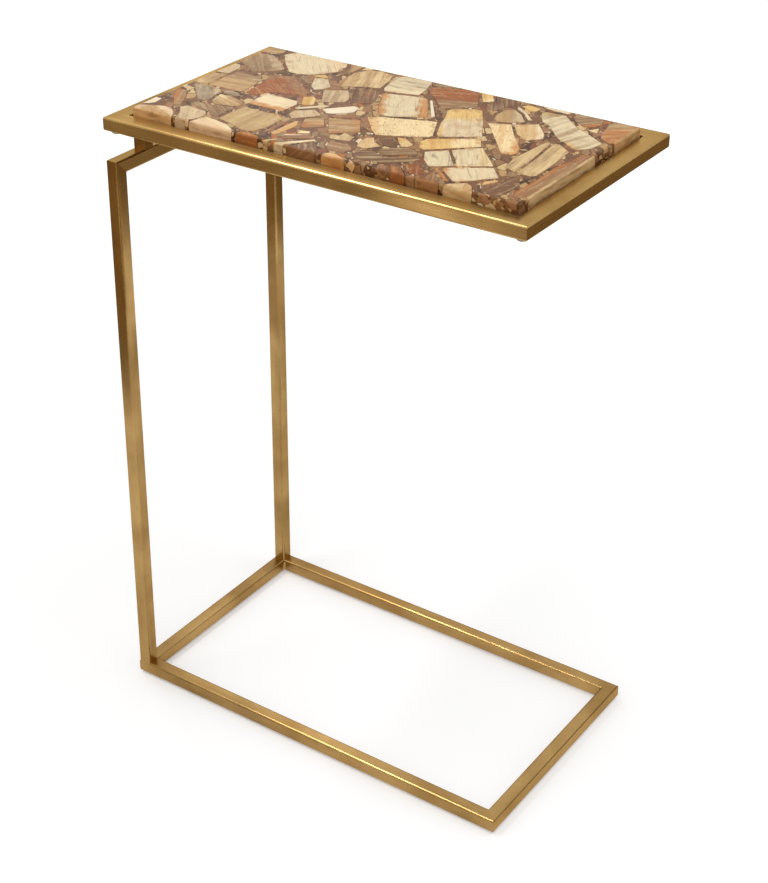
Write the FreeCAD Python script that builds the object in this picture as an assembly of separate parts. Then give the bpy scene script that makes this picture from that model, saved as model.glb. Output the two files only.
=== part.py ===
import FreeCAD, Part
import math
import os

# C-shaped side table: a frame of mitred tube carries a slab of petrified-wood chips cast in resin.
# Millimetres, +Z up, +X towards the open end of the C, +Y towards the rear.
# The origin is on the floor, under the middle of the table top.

Vector = FreeCAD.Vector
RIGHT = Vector(1, 0, 0)
REAR = Vector(0, 1, 0)
UP = Vector(0, 0, 1)
overrun = 1.0  # how far every cutting shape reaches past the face it cuts
parallel_share = 0.9  # least cosine at which an edge counts as running along a direction

# Frame of square tube
top_length = 457.0
base_length = 449.0
frame_depth = 258.0
upright_height = 597.0  # from the underside of the base to the top of the cross rail
tube_side = 14.0
tube_wall = 1.2
tube_corner = 2.2  # outside radius along the tube's edges
weld_radius = 3.0  # ground weld in the inner corners of the frame

# Top frame and what carries it
rim_width = 18.0
rim_height = 14.0
spacer_height = 29.5
spacer_setback = 40.0  # from the table's front or rear face to the nearer face of the spacer

# Slab, its board and the straps under it
slab_thickness = 16.0
slab_clearance = 0.75
slab_corner = 4.0
slab_arris = 0.8
resin_floor = 3.0  # resin left under the chips
board_thickness = 3.0
strap_width = 25.0
strap_thickness = 3.0
strap_shares = [0.15, 0.5, 0.85]  # middles of the straps along the slab, from its left edge

# Bolts that hold the top frame on the spacers
bolt_diameter = 6.0
bolt_clearance = 0.3
bolt_head_lip = 2.0
bolt_head_height = 6.0
bolt_socket_flats = 5.0
bolt_socket_depth = 3.0
bolt_tail = 1.0
nut_height = 5.0
nut_side_room = 0.8

# Floor glides and corner bumpers
glide_diameter = 7.0
glide_thickness = 2.0
bumper_diameter = 12.0
bumper_inset = 9.0
bumper_crown = 7.0  # diameter of its flat crown
bumper_height = 4.0

# Outlines of the chips, each point a share of the slab's length from its left edge and of its
# depth from its front edge. An outline that leaves the slab is trimmed by the slab's own side.
cream_chip_shares = [
    [(0.065, 0.925), (0.08, 1.01), (0.225, 1.01), (0.243, 0.94), (0.238, 0.90), (0.245, 0.865),
     (0.222, 0.80), (0.20, 0.76), (0.175, 0.742), (0.15, 0.744), (0.10, 0.84)],
    [(-0.01, 0.71), (0.022, 0.705), (0.036, 0.67), (0.04, 0.574), (-0.01, 0.568)],
    [(-0.01, 0.157), (0.023, 0.158), (0.027, 0.10), (0.018, 0.077), (-0.01, 0.06)],
    [(0.18, 0.09), (0.245, 0.066), (0.272, 0.035), (0.288, -0.01), (0.166, -0.01)],
    [(0.20, 0.462), (0.288, 0.456), (0.298, 0.42), (0.298, 0.318), (0.205, 0.314), (0.198, 0.40)],
    [(0.472, 0.465), (0.50, 0.495), (0.618, 0.58), (0.657, 0.425), (0.653, 0.403), (0.552, 0.306),
     (0.53, 0.34)],
    [(0.712, 0.683), (0.759, 0.724), (0.793, 0.632), (0.845, 0.512), (0.858, 0.455), (0.851, 0.422),
     (0.827, 0.417), (0.784, 0.52), (0.73, 0.642)],
    [(0.74, 1.01), (0.833, 1.01), (0.829, 0.96), (0.776, 0.968)],
    [(0.912, 0.838), (0.928, 0.885), (0.938, 0.825)],
]
ivory_chip_shares = [
    [(0.376, 0.96), (0.40, 0.982), (0.445, 1.01), (0.466, 1.01), (0.474, 0.95), (0.484, 0.89),
     (0.491, 0.808), (0.425, 0.776), (0.41, 0.77), (0.398, 0.80), (0.388, 0.88)],
    [(0.53, 0.78), (0.535, 0.787), (0.558, 0.727), (0.598, 0.62), (0.592, 0.603), (0.586, 0.62)],
    [(0.306, 0.385), (0.357, 0.486), (0.369, 0.476), (0.315, 0.37)],
    [(0.362, 0.435), (0.41, 0.54), (0.428, 0.535), (0.434, 0.47), (0.40, 0.412), (0.386, 0.402)],
    [(0.316, 0.35), (0.352, 0.412), (0.387, 0.372), (0.352, 0.288), (0.342, 0.27), (0.32, 0.306)],
    [(0.77, 0.157), (0.858, 0.268), (0.897, 0.187), (0.876, 0.15), (0.858, 0.10), (0.829, 0.057),
     (0.778, 0.137)],
    [(0.692, 0.262), (0.729, 0.33), (0.786, 0.197), (0.757, 0.154), (0.743, 0.137), (0.715, 0.187)],
    [(0.733, 0.336), (0.781, 0.428), (0.855, 0.28), (0.791, 0.203)],
    [(0.714, 0.928), (0.736, 0.903), (0.785, 0.812), (0.776, 0.802), (0.75, 0.858), (0.718, 0.90)],
    [(0.395, -0.01), (0.46, 0.127), (0.469, 0.117), (0.418, -0.01)],
    [(0.366, -0.01), (0.39, 0.05), (0.396, 0.042), (0.378, -0.01)],
]
tan_chip_shares = [
    [(0.047, 0.625), (0.12, 0.612), (0.133, 0.59), (0.141, 0.50), (0.145, 0.43), (0.138, 0.412),
     (0.047, 0.412)],
    [(0.112, 0.345), (0.155, 0.34), (0.194, 0.32), (0.198, 0.258), (0.14, 0.226), (0.122, 0.262)],
    [(0.206, 0.278), (0.25, 0.27), (0.30, 0.277), (0.329, 0.25), (0.333, 0.13), (0.32, 0.06),
     (0.30, 0.04), (0.25, 0.08), (0.208, 0.10)],
    [(-0.01, 0.042), (0.036, 0.072), (0.062, 0.093), (0.088, 0.08), (0.107, 0.04), (0.118, -0.01),
     (-0.01, -0.01)],
    [(0.28, 0.91), (0.302, 0.965), (0.33, 0.985), (0.371, 0.953), (0.382, 0.88), (0.391, 0.79),
     (0.352, 0.764), (0.318, 0.722), (0.303, 0.697), (0.285, 0.77)],
    [(0.763, 0.728), (0.808, 0.788), (0.848, 0.70), (0.86, 0.65), (0.834, 0.594), (0.798, 0.638)],
    [(0.877, 0.634), (0.887, 0.628), (0.90, 0.42), (0.905, 0.272), (0.874, 0.30), (0.865, 0.39),
     (0.868, 0.50), (0.871, 0.58)],
    [(0.892, 0.632), (0.905, 0.634), (0.943, 0.58), (0.951, 0.39), (0.952, 0.29), (0.944, 0.27),
     (0.91, 0.27), (0.905, 0.42)],
    [(0.828, 0.033), (0.856, 0.078), (0.874, 0.058), (0.893, -0.01), (0.822, -0.01)],
    [(0.545, 0.263), (0.559, 0.278), (0.574, 0.24), (0.60, 0.211), (0.577, 0.154), (0.555, 0.16),
     (0.546, 0.215)],
    [(0.47, 0.205), (0.522, 0.244), (0.527, 0.19), (0.50, 0.174), (0.48, 0.172)],
    [(0.407, 0.362), (0.44, 0.386), (0.475, 0.416), (0.489, 0.372), (0.516, 0.297), (0.462, 0.212)],
    [(-0.01, 1.01), (0.046, 1.01), (0.055, 0.95), (0.045, 0.91), (-0.01, 0.905)],
    [(0.335, 1.01), (0.37, 1.01), (0.374, 0.982), (0.34, 0.994)],
    [(0.281, 1.01), (0.325, 1.01), (0.302, 0.978), (0.283, 0.94)],
    [(0.40, 0.178), (0.424, 0.192), (0.43, 0.168), (0.408, 0.143)],
    [(0.676, 0.06), (0.698, 0.072), (0.736, -0.01), (0.70, -0.01)],
]
honey_chip_shares = [
    [(0.209, 0.764), (0.232, 0.805), (0.246, 0.788), (0.254, 0.77), (0.222, 0.757)],
    [(0.594, 1.01), (0.627, 1.01), (0.653, 0.922), (0.634, 0.888), (0.613, 0.945)],
    [(0.358, 0.25), (0.366, 0.262), (0.38, 0.21), (0.376, 0.10), (0.368, 0.075), (0.357, 0.09)],
    [(0.281, 0.51), (0.298, 0.543), (0.312, 0.526), (0.331, 0.457), (0.314, 0.426), (0.302, 0.442)],
    [(0.655, 0.388), (0.668, 0.406), (0.75, 0.512), (0.776, 0.434), (0.712, 0.324), (0.683, 0.277),
     (0.667, 0.29), (0.652, 0.345)],
    [(0.719, 0.938), (0.733, 0.968), (0.763, 0.953), (0.764, 0.912), (0.75, 0.902)],
    [(0.597, 0.336), (0.62, 0.34), (0.651, 0.30), (0.649, 0.265), (0.636, 0.254), (0.618, 0.287)],
    [(0.597, 0.718), (0.604, 0.744), (0.64, 0.795), (0.662, 0.798), (0.70, 0.686), (0.747, 0.53),
     (0.668, 0.432), (0.655, 0.458), (0.627, 0.575), (0.617, 0.638)],
    [(-0.01, 0.37), (0.008, 0.365), (0.012, 0.335), (-0.01, 0.318)],
]
rust_chip_shares = [
    [(0.128, 0.66), (0.15, 0.688), (0.178, 0.708), (0.222, 0.645), (0.281, 0.568), (0.273, 0.532),
     (0.213, 0.49), (0.192, 0.455), (0.186, 0.412), (0.155, 0.42), (0.148, 0.50), (0.14, 0.59)],
    [(0.008, 0.303), (0.034, 0.298), (0.06, 0.235), (0.084, 0.142), (0.07, 0.124), (0.045, 0.18),
     (0.018, 0.25)],
    [(0.49, 0.925), (0.545, 0.972), (0.57, 1.01), (0.588, 1.01), (0.606, 0.945), (0.64, 0.83),
     (0.60, 0.757), (0.58, 0.72), (0.541, 0.795), (0.505, 0.858), (0.494, 0.882)],
    [(0.932, 0.958), (0.95, 1.01), (1.01, 1.01), (1.01, 0.78), (0.985, 0.754), (0.958, 0.783),
     (0.945, 0.85), (0.94, 0.90)],
    [(0.972, 0.60), (1.01, 0.60), (1.01, 0.085), (0.97, 0.05), (0.959, 0.10), (0.962, 0.25),
     (0.96, 0.40), (0.969, 0.50)],
    [(0.704, 0.125), (0.724, 0.133), (0.759, 0.06), (0.751, 0.03), (0.73, 0.037), (0.70, 0.095)],
    [(0.367, 0.30), (0.388, 0.343), (0.404, 0.34), (0.433, 0.268), (0.40, 0.207), (0.387, 0.214)],
    [(0.756, 0.135), (0.766, 0.143), (0.823, 0.052), (0.812, 0.046)],
    [(0.88, 0.128), (0.898, 0.166), (0.905, 0.155), (0.886, 0.083)],
    [(0.521, -0.01), (0.53, 0.045), (0.55, 0.042), (0.574, 0.02), (0.585, -0.01)],
    [(0.296, -0.01), (0.299, 0.03), (0.315, 0.045), (0.348, 0.025), (0.358, -0.01)],
]
brown_chip_shares = [
    [(0.094, 0.205), (0.14, 0.216), (0.195, 0.244), (0.20, 0.11), (0.183, 0.107), (0.162, 0.15),
     (0.10, 0.168)],
    [(0.236, 1.01), (0.273, 1.01), (0.275, 0.93), (0.27, 0.87), (0.269, 0.815), (0.254, 0.818),
     (0.256, 0.87), (0.252, 0.935)],
    [(0.345, 0.735), (0.362, 0.75), (0.398, 0.756), (0.41, 0.737), (0.428, 0.655), (0.432, 0.60),
     (0.40, 0.572), (0.387, 0.552), (0.382, 0.60), (0.36, 0.668)],
    [(0.402, 0.395), (0.42, 0.43), (0.438, 0.457), (0.455, 0.44), (0.472, 0.426), (0.438, 0.397),
     (0.41, 0.378)],
    [(0.339, 0.253), (0.352, 0.232), (0.351, 0.10), (0.34, 0.065), (0.338, 0.13)],
    [(0.846, 1.01), (0.903, 1.01), (0.923, 0.93), (0.917, 0.888), (0.897, 0.86), (0.862, 0.907),
     (0.847, 0.945)],
    [(0.912, 0.232), (0.926, 0.243), (0.947, 0.18), (0.951, 0.06), (0.93, 0.02), (0.902, 0.028),
     (0.893, 0.065), (0.913, 0.14)],
    [(0.567, 0.30), (0.589, 0.32), (0.611, 0.284), (0.625, 0.243), (0.608, 0.23), (0.58, 0.252)],
    [(0.61, 0.20), (0.632, 0.233), (0.655, 0.26), (0.677, 0.249), (0.694, 0.212), (0.636, 0.137),
     (0.612, 0.16)],
    [(0.578, 0.138), (0.606, 0.15), (0.636, 0.122), (0.70, 0.196), (0.71, 0.178), (0.69, 0.12),
     (0.665, 0.065), (0.60, 0.05), (0.575, 0.08)],
    [(0.428, -0.01), (0.468, 0.098), (0.481, 0.085), (0.503, 0.03), (0.508, -0.01)],
    [(0.635, 1.01), (0.691, 1.01), (0.706, 0.935), (0.693, 0.87), (0.685, 0.817), (0.666, 0.832),
     (0.646, 0.875), (0.661, 0.918)],
    [(0.699, 1.01), (0.732, 1.01), (0.728, 0.978), (0.713, 0.945)],
    [(0.476, 1.01), (0.558, 1.01), (0.54, 0.98), (0.484, 0.94)],
    [(0.764, 0.10), (0.773, 0.094), (0.804, 0.038), (0.814, -0.01), (0.764, -0.01), (0.759, 0.022),
     (0.768, 0.06)],
    [(0.388, 0.11), (0.404, 0.13), (0.434, 0.158), (0.455, 0.14), (0.402, 0.058), (0.385, 0.075)],
]
grey_chip_shares = [
    [(-0.01, 0.885), (0.046, 0.893), (0.094, 0.828), (0.13, 0.765), (0.12, 0.712), (0.079, 0.652),
     (0.03, 0.712), (-0.01, 0.75)],
    [(-0.01, 0.555), (0.04, 0.56), (0.041, 0.50), (0.043, 0.416), (0.024, 0.404), (-0.01, 0.42)],
    [(0.014, 0.388), (0.085, 0.40), (0.102, 0.38), (0.105, 0.335), (0.114, 0.268), (0.112, 0.236),
     (0.09, 0.24), (0.05, 0.318)],
    [(0.11, 0.40), (0.14, 0.399), (0.16, 0.375), (0.152, 0.354), (0.114, 0.357)],
    [(0.091, 0.118), (0.101, 0.15), (0.158, 0.137), (0.175, 0.095), (0.167, 0.035), (0.15, -0.01),
     (0.128, -0.01), (0.112, 0.07)],
    [(0.416, 0.742), (0.444, 0.762), (0.51, 0.798), (0.522, 0.788), (0.581, 0.617), (0.58, 0.59),
     (0.51, 0.516), (0.483, 0.516), (0.448, 0.622)],
    [(0.293, 0.628), (0.322, 0.673), (0.34, 0.688), (0.352, 0.666), (0.375, 0.60), (0.379, 0.556),
     (0.356, 0.525), (0.334, 0.502), (0.314, 0.562)],
    [(0.771, 0.933), (0.831, 0.94), (0.879, 0.853), (0.977, 0.738), (0.971, 0.66), (0.946, 0.61),
     (0.88, 0.692), (0.83, 0.797), (0.806, 0.822), (0.789, 0.87)],
    [(0.489, 0.158), (0.545, 0.148), (0.563, 0.11), (0.55, 0.067), (0.52, 0.06), (0.504, 0.085)],
    [(0.701, 0.858), (0.72, 0.882), (0.746, 0.848), (0.777, 0.778), (0.757, 0.74), (0.726, 0.717),
     (0.71, 0.735), (0.70, 0.79)],
    [(0.223, 0.749), (0.257, 0.76), (0.293, 0.685), (0.287, 0.64), (0.272, 0.614), (0.25, 0.647)],
]
chip_tone_shares = {
    "chips_cream": cream_chip_shares,
    "chips_ivory": ivory_chip_shares,
    "chips_tan": tan_chip_shares,
    "chips_honey": honey_chip_shares,
    "chips_rust": rust_chip_shares,
    "chips_brown": brown_chip_shares,
    "chips_grey": grey_chip_shares,
}

# Places worked out from the sizes above
left = -top_length / 2
right = top_length / 2
front = -frame_depth / 2
rear = frame_depth / 2
base_right = left + base_length
base_bottom = glide_thickness
base_top = base_bottom + tube_side
cross_top = base_bottom + upright_height
rim_bottom = cross_top + spacer_height
strap_top = rim_bottom + strap_thickness
slab_bottom = strap_top + board_thickness
slab_top = slab_bottom + slab_thickness
slab_left = left + rim_width + slab_clearance
slab_front = front + rim_width + slab_clearance
slab_length = right - rim_width - slab_clearance - slab_left
slab_depth = rear - rim_width - slab_clearance - slab_front
spacer_fronts = {"front_spacer": front + spacer_setback, "rear_spacer": rear - spacer_setback - tube_side}
bolt_radius = bolt_diameter / 2
head_radius = bolt_radius + bolt_head_lip
bolt_x = left + tube_side / 2
bolt_ys = [spacer_front + tube_side / 2 for spacer_front in spacer_fronts.values()]


def save(name, solids):
    """Write one node as a STEP file, as one solid or as a group of separate solids."""
    shape = solids[0] if len(solids) == 1 else Part.makeCompound(solids)
    shape.exportStep("parts/" + name + ".step")


def prism(points, bottom, height):
    """Upright prism on a closed outline of (x, y) points."""
    corners = [Vector(x, y, bottom) for x, y in points]
    outline = Part.makePolygon(corners + corners[:1])
    return Part.Face(outline).extrude(UP * height)


def placed(shape, start, along, inward):
    """Turn a piece from its own X, Y to the two given directions, and set its origin at start."""
    turn = FreeCAD.Rotation(along, inward, along.cross(inward), "XYZ")
    copy = shape.copy()
    copy.Placement = FreeCAD.Placement(start, turn)
    return copy


def edges_along(shape, direction):
    """Straight edges of a box that run along a direction."""
    return [edge for edge in shape.Edges if abs(edge.tangentAt(0).dot(direction)) > parallel_share]


def mitre_wedge(length, width, height, at_end):
    """Cutter that takes the corner off one end of a rail along a line at 45 degrees."""
    low = -overrun
    high = width + overrun
    wedge = prism([(low, low), (high, high), (low, high)], low, height + overrun + overrun)
    if at_end:
        wedge = wedge.mirror(Vector(length / 2, 0, 0), RIGHT)
    return wedge


def weld_half(length, width, height, at_end):
    """One rail's half of the ground weld that rounds the inner corner of a mitre."""
    corner = Vector(width, width, tube_corner)
    arc_centre = corner + (RIGHT + REAR) * weld_radius

    def on_arc(angle):
        return arc_centre + (RIGHT * math.cos(angle) + REAR * math.sin(angle)) * weld_radius

    on_rail = on_arc(-math.pi / 2)
    on_mitre = on_arc(-math.pi * 3 / 4)
    curve = Part.Arc(on_rail, on_arc(-math.pi * 5 / 8), on_mitre).toShape()
    sides = [Part.makeLine(corner, on_rail), curve, Part.makeLine(on_mitre, corner)]
    weld = Part.Face(Part.Wire(sides)).extrude(UP * (height - tube_corner - tube_corner))
    if at_end:
        weld = weld.mirror(Vector(length / 2, 0, 0), RIGHT)
    return weld


def rail_bar(length, width, height, mitred_start, mitred_end):
    """Solid outside of a rail along X: rounded edges, mitres at the ends asked for, half of each weld.

    The rail's outer face is at Y zero, and the inside of the frame lies towards +Y.
    """
    bar = Part.makeBox(length, width, height)
    bar = bar.makeFillet(tube_corner, edges_along(bar, RIGHT))
    for at_end, mitred in ((False, mitred_start), (True, mitred_end)):
        if mitred:
            bar = bar.cut(mitre_wedge(length, width, height, at_end))
            bar = bar.fuse(weld_half(length, width, height, at_end)).removeSplitter()
    return bar


def rail_tube(length, width, height, mitred_start=True, mitred_end=True):
    """Hollow rail: the bar with the bore of the tube taken out from end to end."""
    bore_width = width - tube_wall - tube_wall
    bore_height = height - tube_wall - tube_wall
    bore_start = Vector(-overrun, tube_wall, tube_wall)
    bore = Part.makeBox(length + overrun + overrun, bore_width, bore_height, bore_start)
    return rail_bar(length, width, height, mitred_start, mitred_end).cut(bore)


def bolt_hole(y, radius, bottom, thickness):
    """Cutter for one bolt's clearance hole through a wall that starts at bottom."""
    height = thickness + overrun + overrun
    return Part.makeCylinder(radius + bolt_clearance, height, Vector(bolt_x, y, bottom - overrun))


def hexagon(x, y, flats):
    """Corner points of a hexagon with two of its flats facing along X."""
    corner_radius = flats / 2 / math.cos(math.pi / 6)
    angles = [math.pi / 6 + math.pi / 3 * step for step in range(6)]
    return [(x + corner_radius * math.cos(angle), y + corner_radius * math.sin(angle)) for angle in angles]


def ring_of_rails(x_start, x_end, bottom, width, height, maker):
    """Four mitred rails round a rectangle, as a dictionary by side."""
    length = x_end - x_start
    long_rail = maker(length, width, height, True, True)
    short_rail = maker(frame_depth, width, height, True, True)
    return {
        "front": placed(long_rail, Vector(x_start, front, bottom), RIGHT, REAR),
        "right": placed(short_rail, Vector(x_end, front, bottom), REAR, -RIGHT),
        "rear": placed(long_rail, Vector(x_end, rear, bottom), -RIGHT, -REAR),
        "left": placed(short_rail, Vector(x_start, rear, bottom), -REAR, RIGHT),
    }


def build_base():
    """Closed rectangle of tube that lies on the floor."""
    for side, rail in ring_of_rails(left, base_right, base_bottom, tube_side, tube_side, rail_tube).items():
        save("base_" + side + "_rail", [rail])


def build_uprights():
    """Upside-down U of two posts and a cross rail, with the feet fitted over the base's rounded edges.

    The cross rail has a bolt hole in its upper wall and a wider way in for the bolt in its lower one.
    """
    base_bars = ring_of_rails(left, base_right, base_bottom, tube_side, tube_side, rail_bar)
    foot = base_top - tube_corner
    post_length = cross_top - foot
    front_post = rail_tube(post_length, tube_side, tube_side, mitred_end=False)
    rear_post = rail_tube(post_length, tube_side, tube_side, mitred_start=False)
    posts = {
        "front": placed(front_post, Vector(left, front, cross_top), -UP, REAR),
        "rear": placed(rear_post, Vector(left, rear, foot), UP, -REAR),
    }
    for side, post in posts.items():
        save(side + "_upright", [post.cut(base_bars[side]).cut(base_bars["left"])])
    cross_rail = rail_tube(frame_depth, tube_side, tube_side)
    cross_rail = placed(cross_rail, Vector(left, rear, cross_top), -REAR, -UP)
    for y in bolt_ys:
        cross_rail = cross_rail.cut(bolt_hole(y, bolt_radius, cross_top - tube_wall, tube_wall))
        cross_rail = cross_rail.cut(bolt_hole(y, head_radius, cross_top - tube_side, tube_wall))
    save("top_cross_rail", [cross_rail])


def build_spacers():
    """Stubs of tube that stand on the cross rail under the top frame."""
    stub = rail_tube(spacer_height, tube_side, tube_side, False, False)
    for name, spacer_front in spacer_fronts.items():
        save(name, [placed(stub, Vector(left, spacer_front, rim_bottom), -UP, REAR)])


def build_top_frame():
    """Rim of flat tube round the slab, with bolt holes in the underside of its left rail."""
    rails = ring_of_rails(left, right, rim_bottom, rim_width, rim_height, rail_tube)
    for y in bolt_ys:
        rails["left"] = rails["left"].cut(bolt_hole(y, bolt_radius, rim_bottom, tube_wall))
    for side, rail in rails.items():
        save("top_" + side + "_rail", [rail])


def build_fixings():
    """Bolts with their heads inside the cross rail, and the nuts that they reach in the top frame."""
    seat = cross_top - tube_wall
    nut_bottom = rim_bottom + tube_wall
    nut_flats = tube_side - tube_wall - tube_wall - nut_side_room - nut_side_room
    shank_length = nut_bottom + nut_height + bolt_tail - seat
    head_bottom = seat - bolt_head_height
    bolts = []
    nuts = []
    for y in bolt_ys:
        shank = Part.makeCylinder(bolt_radius, shank_length, Vector(bolt_x, y, seat))
        head = Part.makeCylinder(head_radius, bolt_head_height, Vector(bolt_x, y, head_bottom))
        socket_bottom = head_bottom - overrun
        socket = prism(hexagon(bolt_x, y, bolt_socket_flats), socket_bottom, bolt_socket_depth + overrun)
        bolts.append(head.fuse(shank).removeSplitter().cut(socket))
        nut = prism(hexagon(bolt_x, y, nut_flats), nut_bottom, nut_height)
        nuts.append(nut.cut(bolt_hole(y, bolt_radius, nut_bottom, nut_height)))
    save("top_bolts", bolts)
    save("weld_nuts", nuts)


def build_straps():
    """Flat straps between the front and rear rails of the top frame."""
    strap_front = front + rim_width
    strap_length = rear - rim_width - strap_front
    for name, share in zip(("left_strap", "middle_strap", "right_strap"), strap_shares):
        strap_left = slab_left + slab_length * share - strap_width / 2
        corner = Vector(strap_left, strap_front, rim_bottom)
        save(name, [Part.makeBox(strap_width, strap_length, strap_thickness, corner)])


def slab_blank(bottom, height):
    """Block with the slab's outline and rounded upright corners."""
    block = Part.makeBox(slab_length, slab_depth, height, Vector(slab_left, slab_front, bottom))
    return block.makeFillet(slab_corner, edges_along(block, UP))


def build_slab():
    """Mosaic slab: chips of petrified wood by tone, the resin that they are cast in, and its board."""
    save("backing_board", [slab_blank(strap_top, board_thickness)])
    block = slab_blank(slab_bottom, slab_thickness)
    top_face = max(block.Faces, key=lambda face: face.CenterOfMass.z)
    block = block.makeChamfer(slab_arris, top_face.Edges)
    chip_bottom = slab_bottom + resin_floor
    all_chips = []
    for name, outlines in chip_tone_shares.items():
        chips = []
        for outline in outlines:
            points = [(slab_left + slab_length * u, slab_front + slab_depth * v) for u, v in outline]
            chip = prism(points, chip_bottom, slab_top - chip_bottom).common(block)
            chips.extend(chip.Solids)
        save(name, chips)
        all_chips.extend(chips)
    save("resin_bed", [block.cut(Part.makeCompound(all_chips))])


def build_glides():
    """Thin round glides under the four corners of the base."""
    glide = Part.makeCylinder(glide_diameter / 2, glide_thickness)
    inset = tube_side / 2
    for side_y, y in (("front", front + inset), ("rear", rear - inset)):
        for side_x, x in (("left", left + inset), ("right", base_right - inset)):
            save("glide_" + side_y + "_" + side_x, [glide.translated(Vector(x, y, 0))])


def build_bumpers():
    """Clear tapered bumpers under the four corners of the top frame."""
    bumper = Part.makeCone(bumper_diameter / 2, bumper_crown / 2, bumper_height, Vector(0, 0, 0), -UP)
    for side_y, y in (("front", front + bumper_inset), ("rear", rear - bumper_inset)):
        for side_x, x in (("left", left + bumper_inset), ("right", right - bumper_inset)):
            save("bumper_" + side_y + "_" + side_x, [bumper.translated(Vector(x, y, rim_bottom))])


build_base()
build_uprights()
build_spacers()
build_top_frame()
build_fixings()
build_straps()
build_slab()
build_glides()
build_bumpers()
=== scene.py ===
"""Dresses the C-shaped side table: its brass frame, mosaic slab and small fittings, in a studio."""

import logging
import math
from dataclasses import dataclass, field
from enum import Enum

import bmesh
import bpy
from mathutils import Matrix, Vector, noise


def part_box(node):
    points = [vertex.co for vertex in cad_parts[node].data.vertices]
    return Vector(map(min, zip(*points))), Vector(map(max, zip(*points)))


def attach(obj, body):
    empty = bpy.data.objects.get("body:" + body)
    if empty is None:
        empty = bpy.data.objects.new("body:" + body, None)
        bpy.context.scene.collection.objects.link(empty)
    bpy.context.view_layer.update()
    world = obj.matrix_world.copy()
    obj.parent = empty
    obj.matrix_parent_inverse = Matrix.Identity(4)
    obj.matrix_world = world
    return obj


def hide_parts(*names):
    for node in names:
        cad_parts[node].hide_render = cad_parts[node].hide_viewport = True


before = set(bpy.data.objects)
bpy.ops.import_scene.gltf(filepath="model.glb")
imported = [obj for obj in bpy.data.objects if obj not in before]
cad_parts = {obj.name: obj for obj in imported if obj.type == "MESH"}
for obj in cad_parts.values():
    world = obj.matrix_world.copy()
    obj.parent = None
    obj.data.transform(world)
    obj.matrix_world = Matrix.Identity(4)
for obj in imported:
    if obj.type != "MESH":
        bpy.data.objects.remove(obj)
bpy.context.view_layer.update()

MILLIMETRE = 0.001
CENTIMETRE = 10 * MILLIMETRE
LOG = logging.getLogger("side_table")

Rgba = tuple[float, float, float, float]
Triple = tuple[float, float, float]
Socket = bpy.types.NodeSocket


def linear(code: str) -> Rgba:
    """Turn a written colour into the linear values that a shader takes, by the sRGB formula.

    Args:
        code: The colour as #RRGGBB.

    Returns:
        Red, green, blue and an alpha of 1.
    """
    shares = [int(code[start:start + 2], 16) / 255 for start in (1, 3, 5)]
    red, green, blue = (s / 12.92 if s <= 0.04045 else ((s + 0.055) / 1.055) ** 2.4 for s in shares)
    return (red, green, blue, 1.0)


class Stone(Enum):
    """Colours found in the petrified wood."""

    WHITE = "#ECDCBE"
    IVORY = "#E8D2A8"
    CREAM = "#EDD29D"
    PINK = "#E2C097"
    PEACH = "#DDB076"
    YELLOW = "#E0BA72"
    HONEY = "#D0A058"
    ORANGE = "#C47F3A"
    AMBER = "#AF6A2C"
    RUST = "#9E571E"
    BRICK = "#844B2A"
    SAND = "#D6B681"
    TAN = "#BE9762"
    OLIVE = "#C0A069"
    TAUPE = "#9A784F"
    UMBER = "#9C6F47"
    MAUVE = "#7A5335"
    COCOA = "#603D24"
    SLATE = "#A08B6B"
    GREY = "#DCC8A0"
    SMOKE = "#CBAF86"


class Along(Enum):
    """Direction of a rail, which its brushing follows."""

    X = 0
    Y = 1
    Z = 2


@dataclass(frozen=True)
class ChipLook:
    """How one chip of stone looks.

    A chip is known by its middle, as shares of the slab's length and depth. Its grain is an angle in
    degrees. The four shares from start to high say how far the second colour reaches in from the sides. A
    grain that runs mostly from rear to front starts at the rear and has its low side on the left. One that
    runs mostly from left to right starts on the left and has its low side at the front.
    """

    at: tuple[float, float]
    base: Stone
    streak: Stone = Stone.UMBER
    grain: float = -58.0
    bands: float = 0.35
    cracks: float = 0.3
    flecks: float = 0.0
    second: Stone = Stone.CREAM
    fleck: Stone = Stone.UMBER
    start: float = 0.0
    end: float = 0.0
    low: float = 0.0
    high: float = 0.0
    side: Stone | None = None


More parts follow.
